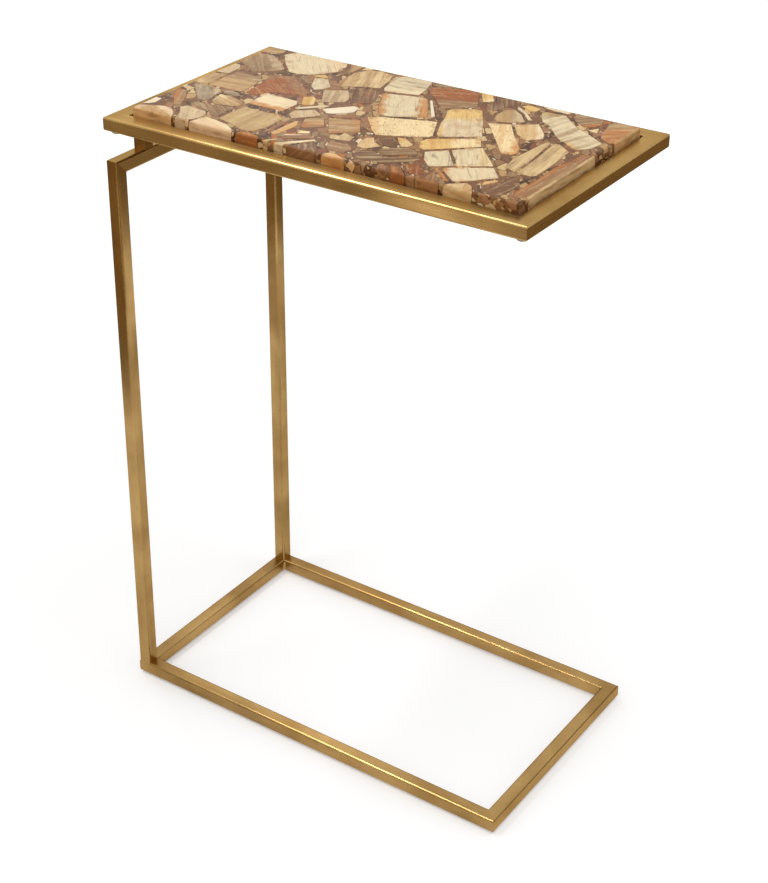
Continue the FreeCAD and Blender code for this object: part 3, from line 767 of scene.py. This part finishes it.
@dataclass(frozen=True)
class BrassFinish:
    """Antique brass, brushed along a rail and darkened by a light patina."""

    along: Along
    bright: Rgba = linear("#B8965F")
    aged: Rgba = linear("#8E6B3A")
    dark: Rgba = linear("#5E4320")
    glint: Rgba = linear("#F3DEBA")
    strokes: Brushing = Brushing(900.0, 9.0, 3.0)
    streaks: Brushing = Brushing(70.0, 5.0, 4.0)
    smoke: Brushing = Brushing(26.0, 7.0, 3.0)
    patina_per_metre: float = 13.0
    spots_per_metre: float = 120.0
    stroke_share: float = 0.25
    roughness: tuple[float, float] = (0.23, 0.31)
    brushed_share: float = 0.7
    lacquer: float = 0.12
    lacquer_roughness: float = 0.12

    def brushed(self, graph: Graph, place: Socket, marks: Brushing) -> Socket:
        """Noise that is drawn out along the rail.

        Args:
            graph: The material's graph.
            place: Position on the rail.
            marks: How far it is drawn out, and its detail.

        Returns:
            Cloudy values about a half.
        """
        scale = [marks.across] * 3
        scale[self.along.value] = marks.along
        return graph.noise(graph.stretch(place, tuple(scale)), 1.0, marks.detail)

    def build(self) -> bpy.types.Material:
        """Make the material.

        Returns:
            The finished material.
        """
        graph = Graph("antique_brass_along_" + self.along.name.lower())
        place = graph.place()
        strokes, streaks, smoke = (self.brushed(graph, place, marks)
                                   for marks in (self.strokes, self.streaks, self.smoke))
        patina = graph.noise(place, self.patina_per_metre, 5.0)
        spots = graph.noise(place, self.spots_per_metre, 4.0)
        colour = graph.blend(self.bright, self.aged, graph.span(patina, 0.36, 0.68, 0.0, 0.75))
        colour = graph.blend(colour, self.aged, graph.span(streaks, 0.45, 0.7, 0.0, 0.4))
        colour = graph.blend(colour, self.dark, graph.span(spots, 0.62, 0.8, 0.0, 0.2))
        colour = graph.blend(colour, self.dark, graph.span(smoke, 0.5, 0.72, 0.0, 0.5))
        rub = graph.math("ADD", graph.times(strokes, self.stroke_share),
                         graph.times(patina, 1.0 - self.stroke_share))
        surface = graph.add("BsdfPrincipled", {
            "Base Color": colour,
            "Metallic": 1.0,
            "Roughness": graph.span(rub, 0.3, 0.7, *self.roughness),
            "Anisotropic": self.brushed_share,
            "Tangent": graph.add("Tangent", direction_type="RADIAL", axis=self.along.name).outputs[0],
            "Specular Tint": self.glint,
            "Coat Weight": self.lacquer,
            "Coat Roughness": self.lacquer_roughness,
        })
        return graph.close(surface)


@dataclass(frozen=True)
class PlatedSteelFinish:
    """Zinc plate on the bolts and nuts."""

    bright: Rgba = linear("#C3C2BC")
    dull: Rgba = linear("#8D8B82")

    def build(self) -> bpy.types.Material:
        """Make the material, spangled and a little dull.

        Returns:
            The finished material.
        """
        graph = Graph("plated_steel")
        spangle = graph.noise(graph.place(), 400.0, 3.0)
        surface = graph.add("BsdfPrincipled", {
            "Base Color": graph.blend(self.bright, self.dull, graph.span(spangle, 0.35, 0.65)),
            "Metallic": 1.0,
            "Roughness": graph.span(spangle, 0.3, 0.7, 0.3, 0.45),
        })
        return graph.close(surface)


@dataclass(frozen=True)
class BoardFinish:
    """Sealed brown fibre board under the slab."""

    pale: Rgba = linear("#7A5E43")
    dark: Rgba = linear("#57402C")
    relief: float = 0.1 * MILLIMETRE

    def build(self) -> bpy.types.Material:
        """Make the material, with fibres and a faint pitting.

        Returns:
            The finished material.
        """
        graph = Graph("sealed_board")
        place = graph.place()
        fibres = graph.noise(graph.stretch(place, (180.0, 900.0, 400.0)), 1.0, 4.0)
        blotch = graph.noise(place, 22.0, 3.0)
        colour = graph.blend(self.pale, self.dark, graph.span(fibres, 0.35, 0.65))
        colour = graph.blend(colour, self.dark, graph.span(blotch, 0.45, 0.7, 0.0, 0.5))
        surface = graph.add("BsdfPrincipled", {
            "Base Color": colour,
            "Roughness": graph.span(fibres, 0.3, 0.7, 0.5, 0.68),
            "Normal": graph.bump(fibres, self.relief),
        })
        return graph.close(surface)


@dataclass(frozen=True)
class NylonFinish:
    """Dark moulded nylon of the floor glides."""

    face: Rgba = linear("#3A3530")
    worn: Rgba = linear("#57504A")

    def build(self) -> bpy.types.Material:
        """Make the material, scuffed by the floor.

        Returns:
            The finished material.
        """
        graph = Graph("glide_nylon")
        scuffs = graph.noise(graph.stretch(graph.place(), (300.0, 900.0, 300.0)), 1.0, 3.0)
        surface = graph.add("BsdfPrincipled", {
            "Base Color": graph.blend(self.face, self.worn, graph.span(scuffs, 0.5, 0.7)),
            "Roughness": graph.span(scuffs, 0.3, 0.7, 0.4, 0.6),
        })
        return graph.close(surface)


@dataclass(frozen=True)
class ClearFinish:
    """Clear soft plastic of the corner bumpers, a little cloudy."""

    clean: Rgba = linear("#DAD6CE")
    cloudy: Rgba = linear("#B9B2A6")

    def build(self) -> bpy.types.Material:
        """Make the material, see-through with a faint haze.

        Returns:
            The finished material.
        """
        graph = Graph("clear_bumper")
        haze = graph.noise(graph.place(), 260.0, 3.0)
        surface = graph.add("BsdfPrincipled", {
            "Base Color": graph.blend(self.clean, self.cloudy, graph.span(haze, 0.4, 0.65)),
            "Roughness": graph.span(haze, 0.3, 0.7, 0.08, 0.2),
            "IOR": 1.49,
            "Transmission Weight": 0.8,
        })
        return graph.close(surface)


def dress(names: tuple[str, ...], material: bpy.types.Material) -> None:
    """Give CAD nodes a material in place of the one they came with.

    Args:
        names: The nodes' names.
        material: The material they get.
    """
    for name in names:
        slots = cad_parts[name].data.materials
        slots.clear()
        slots.append(material)
        LOG.info("%s is finished in %s", name, material.name)


def make_object(name: str, mesh: bmesh.types.BMesh, material: bpy.types.Material) -> bpy.types.Object:
    """Turn a finished bmesh into an object of the scene.

    Args:
        name: The object's name.
        mesh: The shape, which is freed.
        material: The object's material.

    Returns:
        The new object.
    """
    data = bpy.data.meshes.new(name)
    mesh.to_mesh(data)
    mesh.free()
    data.materials.append(material)
    made = bpy.data.objects.new(name, data)
    bpy.context.scene.collection.objects.link(made)
    return made


def add_piece(name: str, mesh: bmesh.types.BMesh, material: bpy.types.Material,
              nodes: tuple[str, ...]) -> None:
    """Make a piece of the table that stands for CAD nodes.

    Args:
        name: The piece's name.
        mesh: The shape, which is freed.
        material: The piece's material.
        nodes: CAD nodes that the piece stands for.
    """
    piece = make_object(name, mesh, material)
    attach(piece, "root")
    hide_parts(*nodes)
    LOG.info("%s stands for %s", name, ", ".join(nodes))


@dataclass
class BrassFrame:
    """The welded frame: base, posts, spacers, rim and the straps under the slab."""

    along_x: tuple[str, ...] = ("base_front_rail", "base_rear_rail", "top_front_rail", "top_rear_rail")
    along_y: tuple[str, ...] = ("base_left_rail", "base_right_rail", "top_left_rail", "top_right_rail",
                                "top_cross_rail", "left_strap", "middle_strap", "right_strap")
    along_z: tuple[str, ...] = ("front_upright", "rear_upright", "front_spacer", "rear_spacer")

    def build(self) -> None:
        """Brush each rail along its own length."""
        for along, names in ((Along.X, self.along_x), (Along.Y, self.along_y), (Along.Z, self.along_z)):
            dress(names, BrassFinish(along).build())


@dataclass
class MosaicSlab:
    """The slab: chips of petrified wood by tone, and the resin that they are cast in.

    A face is a side where its normal rises less than side_slope, and flat where it rises more than
    flat_slope.
    """

    tones: tuple[str, ...] = ("cream", "ivory", "tan", "honey", "rust", "brown", "grey")
    chip_bevel: float = 0.45 * MILLIMETRE
    resin_sink: float = 0.15 * MILLIMETRE
    resin_recess: float = 0.6 * MILLIMETRE
    edge_step: float = 2.0 * MILLIMETRE
    edge_drops: tuple[float, ...] = (8.5 * MILLIMETRE, 6.0 * MILLIMETRE, 4.0 * MILLIMETRE, 2.0 * MILLIMETRE)
    edge_depth: float = 2.2 * MILLIMETRE
    edge_grain: float = 9.0 * MILLIMETRE
    edge_round: float = 2.2 * MILLIMETRE
    outer_band: float = 4.4 * MILLIMETRE
    touch: float = 0.02 * MILLIMETRE
    side_slope: float = 0.95
    flat_slope: float = 0.98
    same_plane: float = math.radians(1.0)
    crease: float = math.radians(24.0)
    wear_octaves: int = 3
    wear_share: float = 0.55
    ragged_scale: float = 0.6
    ragged_share: float = 0.5
    ragged_from_share: float = 0.7
    round_share: float = 0.6
    top_wear_share: float = 0.12
    seed_weights: tuple[float, float] = (37.0, 91.0)
    low: Vector = field(init=False)
    high: Vector = field(init=False)

    def __post_init__(self) -> None:
        """Take the slab's place from the frame."""
        self.low, self.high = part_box("resin_bed")

    def copy_node(self, name: str) -> bmesh.types.BMesh:
        """Copy a node's mesh, with its triangles joined into whole faces.

        Args:
            name: The node's name.

        Returns:
            The copy.
        """
        mesh = bmesh.new()
        mesh.from_mesh(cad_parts[name].data)
        bmesh.ops.remove_doubles(mesh, verts=mesh.verts, dist=self.touch / 2)
        bmesh.ops.dissolve_limit(mesh, angle_limit=self.same_plane, verts=mesh.verts, edges=mesh.edges)
        return mesh

    def reach(self, point: Vector) -> float:
        """How far a point lies inside the nearest outer side of the slab."""
        return min(point.x - self.low.x, self.high.x - point.x, point.y - self.low.y, self.high.y - point.y)

    def is_outside(self, face: bmesh.types.BMFace) -> bool:
        """Whether a face is on the slab's outer sides, or on the arris above them."""
        upright = abs(face.normal.z) < self.side_slope
        return upright and self.reach(face.calc_center_median()) < self.outer_band

    def cut_sides(self, mesh: bmesh.types.BMesh) -> None:
        """Divide the outer sides into small facets, so that they can be roughened.

        Args:
            mesh: A copy of a node of the slab.
        """
        cuts = [(Vector((0, 0, self.high.z - drop)), Vector((0, 0, 1))) for drop in self.edge_drops]
        for axis, direction in enumerate((Vector((1, 0, 0)), Vector((0, 1, 0)))):
            count = int((self.high[axis] - self.low[axis]) / self.edge_step)
            for step in range(1, count):
                cuts.append((direction * (self.low[axis] + self.edge_step * step), direction))
        faces = [face for face in mesh.faces if self.is_outside(face)]
        geometry = list(dict.fromkeys(part for face in faces for part in (face, *face.edges, *face.verts)))
        for point, direction in cuts:
            done = bmesh.ops.bisect_plane(mesh, geom=geometry, dist=self.touch / 10, plane_co=point,
                                          plane_no=direction)
            geometry = done["geom"]

    def roughen_sides(self, mesh: bmesh.types.BMesh, recess: float = 0.0) -> None:
        """Wear the outer sides back unevenly, more along the upper arris, and never outwards.

        Args:
            mesh: A copy of a node of the slab, with its sides cut up.
            recess: How much further in the whole side is set.
        """
        flat = [face for face in mesh.faces if abs(face.normal.z) > self.flat_slope and len(face.verts) > 4]
        bmesh.ops.triangulate(mesh, faces=flat)
        verts = {vert for face in mesh.faces if self.is_outside(face) for vert in face.verts}
        for vert in verts:
            spot = vert.co / self.edge_grain
            wear = 0.5 + 0.5 * noise.turbulence(spot, self.wear_octaves, False)
            ragged = 0.5 + 0.5 * noise.noise(spot * self.ragged_scale)
            height = (vert.co.z - self.low.z) / (self.high.z - self.low.z)
            notch = ragged * max(0.0, height - self.ragged_from_share)
            depth = self.edge_depth * (wear * self.wear_share + notch * self.ragged_share) + recess
            rise = max(0.0, self.edge_round - (self.high.z - vert.co.z))
            depth += self.round_share * (self.edge_round - math.sqrt(self.edge_round ** 2 - rise ** 2))
            for axis in (0, 1):
                if vert.co[axis] - self.low[axis] < self.edge_depth:
                    vert.co[axis] += depth
                elif self.high[axis] - vert.co[axis] < self.edge_depth:
                    vert.co[axis] -= depth
            if self.high.z - vert.co.z < self.edge_depth:
                vert.co.z -= self.edge_depth * self.top_wear_share * ragged

    def soften(self, mesh: bmesh.types.BMesh) -> None:
        """Shade the worn sides smooth and keep the flat faces flat.

        Args:
            mesh: A finished piece of the slab.
        """
        for face in mesh.faces:
            face.smooth = abs(face.normal.z) < self.flat_slope and self.is_outside(face)
        for edge in mesh.edges:
            edge.smooth = edge.is_manifold and edge.calc_face_angle(math.pi) < self.crease

    def islands(self, mesh: bmesh.types.BMesh) -> list[list[bmesh.types.BMFace]]:
        """Separate chips of a tone.

        Args:
            mesh: The tone's mesh.

        Returns:
            The faces of each chip.
        """
        seen: set[int] = set()
        found = []
        mesh.faces.index_update()
        for first in mesh.faces:
            if first.index in seen:
                continue
            seen.add(first.index)
            chip, waiting = [], [first]
            while waiting:
                face = waiting.pop()
                chip.append(face)
                for edge in face.edges:
                    for other in edge.link_faces:
                        if other.index not in seen:
                            seen.add(other.index)
                            waiting.append(other)
            found.append(chip)
        return found

    def look_for(self, chip: list[bmesh.types.BMFace], tone: str) -> ChipLook:
        """The look written for the chip at this place.

        Args:
            chip: The chip's faces.
            tone: The chip's tone.

        Returns:
            The nearest look of that tone.
        """
        top = max(chip, key=lambda face: face.calc_area() * (face.normal.z > self.flat_slope))
        middle = top.calc_center_median_weighted()
        share_x = (middle.x - self.low.x) / (self.high.x - self.low.x)
        share_y = (middle.y - self.low.y) / (self.high.y - self.low.y)
        aspect = (self.high.y - self.low.y) / (self.high.x - self.low.x)
        return min(CHIP_LOOKS[tone],
                   key=lambda look: math.hypot(look.at[0] - share_x, (look.at[1] - share_y) * aspect))

    def paint_chip(self, mesh: bmesh.types.BMesh, chip: list[bmesh.types.BMFace], look: ChipLook) -> None:
        """Write a chip's look into the mesh's UV maps and attributes.

        Args:
            mesh: The tone's mesh.
            chip: The chip's faces.
            look: The chip's look.
        """
        grain_map = mesh.loops.layers.uv["grain"]
        share_map = mesh.loops.layers.uv["share"]
        colours = mesh.loops.layers.float_color
        angle = math.radians(look.grain)
        along = Vector((math.cos(angle), math.sin(angle), 0.0))
        across = Vector((-math.sin(angle), math.cos(angle), 0.0))
        upright = abs(along.y) > abs(along.x)
        if (along.y > 0) if upright else (along.x < 0):
            along = -along
        if (across.x < 0) if upright else (across.y < 0):
            across = -across
        corners = [vert.co for face in chip for vert in face.verts]
        spans = [(min(c.dot(d) for c in corners), max(c.dot(d) for c in corners)) for d in (along, across)]
        seed = sum(share * weight for share, weight in zip(look.at, self.seed_weights))
        side = look.side or look.base
        values = {
            "base": linear(look.base.value),
            "second": linear(look.second.value),
            "streak": linear(look.streak.value),
            "traits": (look.bands, look.cracks, look.flecks, seed),
            "zones": (look.start, look.end, look.low, look.high),
        }
        for face in chip:
            outside = 1.0 if self.is_outside(face) else 0.0
            # Bevels and walls take a dark joint colour, partly painted shade in the groove where the chip
            # meets the resin.
            dark_joint_and_shade = 0.0 if outside or face.normal.z > self.flat_slope else 1.0
            for loop in face.loops:
                point = loop.vert.co
                drop = self.high.z - point.z
                first, second = point.dot(along), point.dot(across)
                loop[grain_map].uv = (first / CENTIMETRE, (second + drop) / CENTIMETRE)
                loop[share_map].uv = [(value - low) / (high - low)
                                      for value, (low, high) in zip((first, second), spans)]
                for name, value in values.items():
                    loop[colours[name]] = value
                loop[colours["side"]] = (*linear(side.value)[:3], outside)
                loop[colours["fleck"]] = (*linear(look.fleck.value)[:3], dark_joint_and_shade)

    def build_tone(self, tone: str) -> None:
        """Make all the chips of one tone, each bevelled and painted by itself.

        Args:
            tone: The tone's name.
        """
        mesh = self.copy_node("chips_" + tone)
        rim = [edge for edge in mesh.edges
               if all(self.high.z - vert.co.z < self.touch for vert in edge.verts)
               and self.reach((edge.verts[0].co + edge.verts[1].co) / 2) > self.outer_band]
        bmesh.ops.bevel(mesh, geom=rim, offset=self.chip_bevel, segments=2, profile=0.5, affect="EDGES",
                        material=-1)
        self.cut_sides(mesh)
        self.roughen_sides(mesh)
        mesh.normal_update()
        for name in ("grain", "share"):
            mesh.loops.layers.uv.new(name)
        for name in ("base", "second", "streak", "fleck", "traits", "zones", "side"):
            mesh.loops.layers.float_color.new(name)
        for chip in self.islands(mesh):
            self.paint_chip(mesh, chip, self.look_for(chip, tone))
        self.soften(mesh)
        finish = StoneFinish(tone + "_stone").build()
        add_piece("mosaic_" + tone, mesh, finish, ("chips_" + tone,))

    def build_bed(self) -> None:
        """Make the resin, a hair below the polished stone."""
        mesh = self.copy_node("resin_bed")
        self.cut_sides(mesh)
        self.roughen_sides(mesh, self.resin_recess)
        for vert in mesh.verts:
            if self.high.z - vert.co.z < self.touch:
                vert.co.z -= self.resin_sink
        mesh.normal_update()
        self.soften(mesh)
        add_piece("mosaic_resin", mesh, ResinFinish("brown_resin").build(), ("resin_bed",))

    def build(self) -> None:
        """Make the bed, the chips and the board."""
        self.build_bed()
        for tone in self.tones:
            self.build_tone(tone)
        dress(("backing_board",), BoardFinish().build())


@dataclass
class Fittings:
    """Bolts, nuts, floor glides and the clear bumpers under the rim."""

    corners: tuple[str, ...] = ("front_left", "front_right", "rear_left", "rear_right")
    segments: int = 40
    rings: int = 24
    cut_share: float = 0.001

    def build_bumper(self, corner: str, material: bpy.types.Material) -> None:
        """Make one bumper as a low dome with its flat side against the rim.

        Args:
            corner: The corner's name.
            material: The clear plastic.
        """
        node = "bumper_" + corner
        low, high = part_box(node)
        mesh = bmesh.new()
        bmesh.ops.create_uvsphere(mesh, u_segments=self.segments, v_segments=self.rings, radius=1.0)
        ball = mesh.verts[:] + mesh.edges[:] + mesh.faces[:]
        bmesh.ops.bisect_plane(mesh, geom=ball, dist=self.cut_share, plane_co=Vector((0, 0, 0)),
                               plane_no=Vector((0, 0, 1)), clear_outer=True)
        bmesh.ops.holes_fill(mesh, edges=[edge for edge in mesh.edges if edge.is_boundary])
        size = high - low
        bmesh.ops.scale(mesh, vec=(size.x / 2, size.y / 2, size.z), verts=mesh.verts)
        place = Vector(((low.x + high.x) / 2, (low.y + high.y) / 2, high.z))
        bmesh.ops.translate(mesh, vec=place, verts=mesh.verts)
        bmesh.ops.recalc_face_normals(mesh, faces=mesh.faces)
        # The flat side is the one face with many corners.
        for face in mesh.faces:
            face.smooth = len(face.verts) < self.segments
        add_piece("clear_" + node, mesh, material, (node,))

    def build(self) -> None:
        """Finish the small fittings."""
        dress(("top_bolts", "weld_nuts"), PlatedSteelFinish().build())
        dress(tuple("glide_" + corner for corner in self.corners), NylonFinish().build())
        clear = ClearFinish().build()
        for corner in self.corners:
            self.build_bumper(corner, clear)


@dataclass
class Lamp:
    """One soft rectangular lamp that faces a point, and that may be kept to some of the nodes."""

    name: str
    place: Triple
    target: Triple
    size: tuple[float, float]
    power: float
    nodes: tuple[str, ...] = ()

    def build(self) -> None:
        """Hang the lamp."""
        data = bpy.data.lights.new(self.name, "AREA")
        data.shape = "RECTANGLE"
        data.size, data.size_y = self.size
        data.energy = self.power
        lamp = bpy.data.objects.new(self.name, data)
        lamp.location = self.place
        aim = Vector(self.target) - Vector(self.place)
        lamp.rotation_euler = aim.to_track_quat("-Z", "Y").to_euler()
        lamp.visible_camera = False
        bpy.context.scene.collection.objects.link(lamp)
        if self.nodes:
            reach = bpy.data.collections.new(self.name + "_reach")
            for node in self.nodes:
                reach.objects.link(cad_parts[node])
            lamp.light_linking.receiver_collection = reach


@dataclass
class Studio:
    """White floor, soft light, a glowing dark ring that the metal mirrors as a painted reflection, and the
    camera.
    """

    camera_place: Triple = (0.8871, -1.3149, 1.2304)
    azimuth: float = 35.769
    elevation: float = 26.931
    roll: float = -0.521
    lens: float = 74.27
    shift: tuple[float, float] = (0.06, -0.12)
    white: Rgba = linear("#FFFFFF")
    floor_size: float = 40.0
    floor_paint: Rgba = linear("#EDEDED")
    floor_dim: Triple = (-0.6, -0.3, 0.0)
    floor_reach: tuple[float, float] = (0.3, 2.6)
    floor_lift: tuple[float, float] = (0.23, 0.62)
    ambient: float = 0.6
    surround_radius: float = 0.95
    surround_height: float = 0.48
    surround_sides: int = 64
    surround_fade: tuple[float, float] = (-0.4, 0.4)
    painted_reflection_front: Rgba = linear("#967C56")
    painted_reflection_rear: Rgba = linear("#816A49")
    strip_place: Triple = (-0.95, -0.3, 2.25)
    strip_target: Triple = (0.1, -0.13, 0.64)
    lamps: tuple[Lamp, ...] = (
        Lamp("key_lamp", (0.5, -1.5, 2.3), (0.05, 0.0, 0.45), (1.2, 1.2), 11.0),
        Lamp("haze_lamp", (-1.76, 1.85, 1.52), (0.0, 0.0, 0.6), (0.25, 0.3), 0.12),
        Lamp("strip_lamp", strip_place, strip_target, (1.5, 0.15), 12.5),
        Lamp("rim_lamp", (-0.26, -0.76, 0.31), (0.15, -0.13, 0.63), (0.06, 0.24), 0.16),
        Lamp("glow_lamp", (-1.11, 1.37, 1.46), (0.0, -0.12, 0.35), (0.2, 0.3), 0.25),
        Lamp("glint_lamp", strip_place, strip_target, (1.5, 0.3), 30.0, BrassFrame.along_x),
        Lamp("over_lamp", (0.9, 0.4, 2.3), (0.0, 0.0, 0.3), (1.4, 1.4), 7.0),
    )

    def seen_plainly(self, graph: Graph) -> Socket:
        """Tell the rays that show a surface from those that only carry its light.

        Args:
            graph: The graph of a material or of the world.

        Returns:
            One where a ray comes from the camera, a mirror or a clear piece, and nought elsewhere.
        """
        path = graph.add("LightPath").outputs
        rays = ("Is Camera Ray", "Is Glossy Ray", "Is Transmission Ray")
        return graph.math("MAXIMUM", *(path[ray] for ray in rays))

    def build_floor(self) -> None:
        """Lay a plain pale floor that keeps the table's shadow."""
        graph = Graph("studio_floor")
        away = graph.add("VectorMath", {0: graph.place(), 1: self.floor_dim}, operation="DISTANCE")
        level = graph.span(away.outputs["Value"], *self.floor_reach, *self.floor_lift)
        lift = graph.times(self.seen_plainly(graph), level)
        paint = graph.add("BsdfDiffuse", {"Color": self.floor_paint})
        glow = graph.add("Emission", {"Color": self.white, "Strength": lift})
        both = graph.add("AddShader", {0: paint.outputs[0], 1: glow.outputs[0]})
        mesh = bmesh.new()
        bmesh.ops.create_grid(mesh, x_segments=1, y_segments=1, size=self.floor_size / 2)
        floor = make_object("studio_floor", mesh, graph.close(both))

    def build_surround(self) -> None:
        """Stand a low ring round the table that glows dim brown, a painted reflection which only the
        polished metal mirrors.
        """
        graph = Graph("studio_surround")
        depth = graph.axes(graph.place())[1]
        tone = graph.blend(self.painted_reflection_front, self.painted_reflection_rear, graph.span(depth, *self.surround_fade))
        # Painted reflection: the ring glows, lighter in front than behind, and only glossy rays see it.
        paint = graph.add("Emission", {"Color": tone, "Strength": 1.0})
        mesh = bmesh.new()
        bmesh.ops.create_circle(mesh, cap_ends=False, segments=self.surround_sides,
                                radius=self.surround_radius)
        raised = bmesh.ops.extrude_edge_only(mesh, edges=mesh.edges[:])["geom"]
        upper = [part for part in raised if isinstance(part, bmesh.types.BMVert)]
        bmesh.ops.translate(mesh, vec=(0, 0, self.surround_height), verts=upper)
        ring = make_object("studio_surround", mesh, graph.close(paint))
        ring.visible_camera = False
        ring.visible_diffuse = False
        ring.visible_transmission = False
        ring.visible_shadow = False

    def build_world(self) -> None:
        """Fill the room with an even soft light in front of a white background."""
        graph = Graph("studio_world", for_world=True)
        inputs = {"Value": self.seen_plainly(graph), "To Min": self.ambient, "To Max": 1.0}
        level = graph.add("MapRange", inputs).outputs["Result"]
        light = graph.add("Background", {"Color": self.white, "Strength": level})
        bpy.context.scene.world = graph.close(light)

    def build_camera(self) -> None:
        """Set the camera at the photograph's viewing angle."""
        data = bpy.data.cameras.new("camera")
        data.lens = self.lens
        data.shift_x, data.shift_y = self.shift
        camera = bpy.data.objects.new("camera", data)
        turn = (Matrix.Rotation(math.radians(self.azimuth), 4, "Z")
                @ Matrix.Rotation(math.radians(90.0 - self.elevation), 4, "X")
                @ Matrix.Rotation(math.radians(self.roll), 4, "Z"))
        camera.matrix_world = Matrix.Translation(self.camera_place) @ turn
        bpy.context.scene.collection.objects.link(camera)
        bpy.context.scene.camera = camera

    def build(self) -> None:
        """Set up the whole studio."""
        self.build_floor()
        self.build_surround()
        self.build_world()
        for lamp in self.lamps:
            lamp.build()
        self.build_camera()
        bpy.context.scene.view_settings.view_transform = "Standard"


def main() -> None:
    """Dress the frame, the slab and the fittings, then set up the studio."""
    logging.basicConfig(level=logging.INFO, format="%(name)s: %(message)s")
    for part in (BrassFrame(), MosaicSlab(), Fittings(), Studio()):
        part.build()
        LOG.info("%s is done", type(part).__name__)


if __name__ == "__main__":
    main()
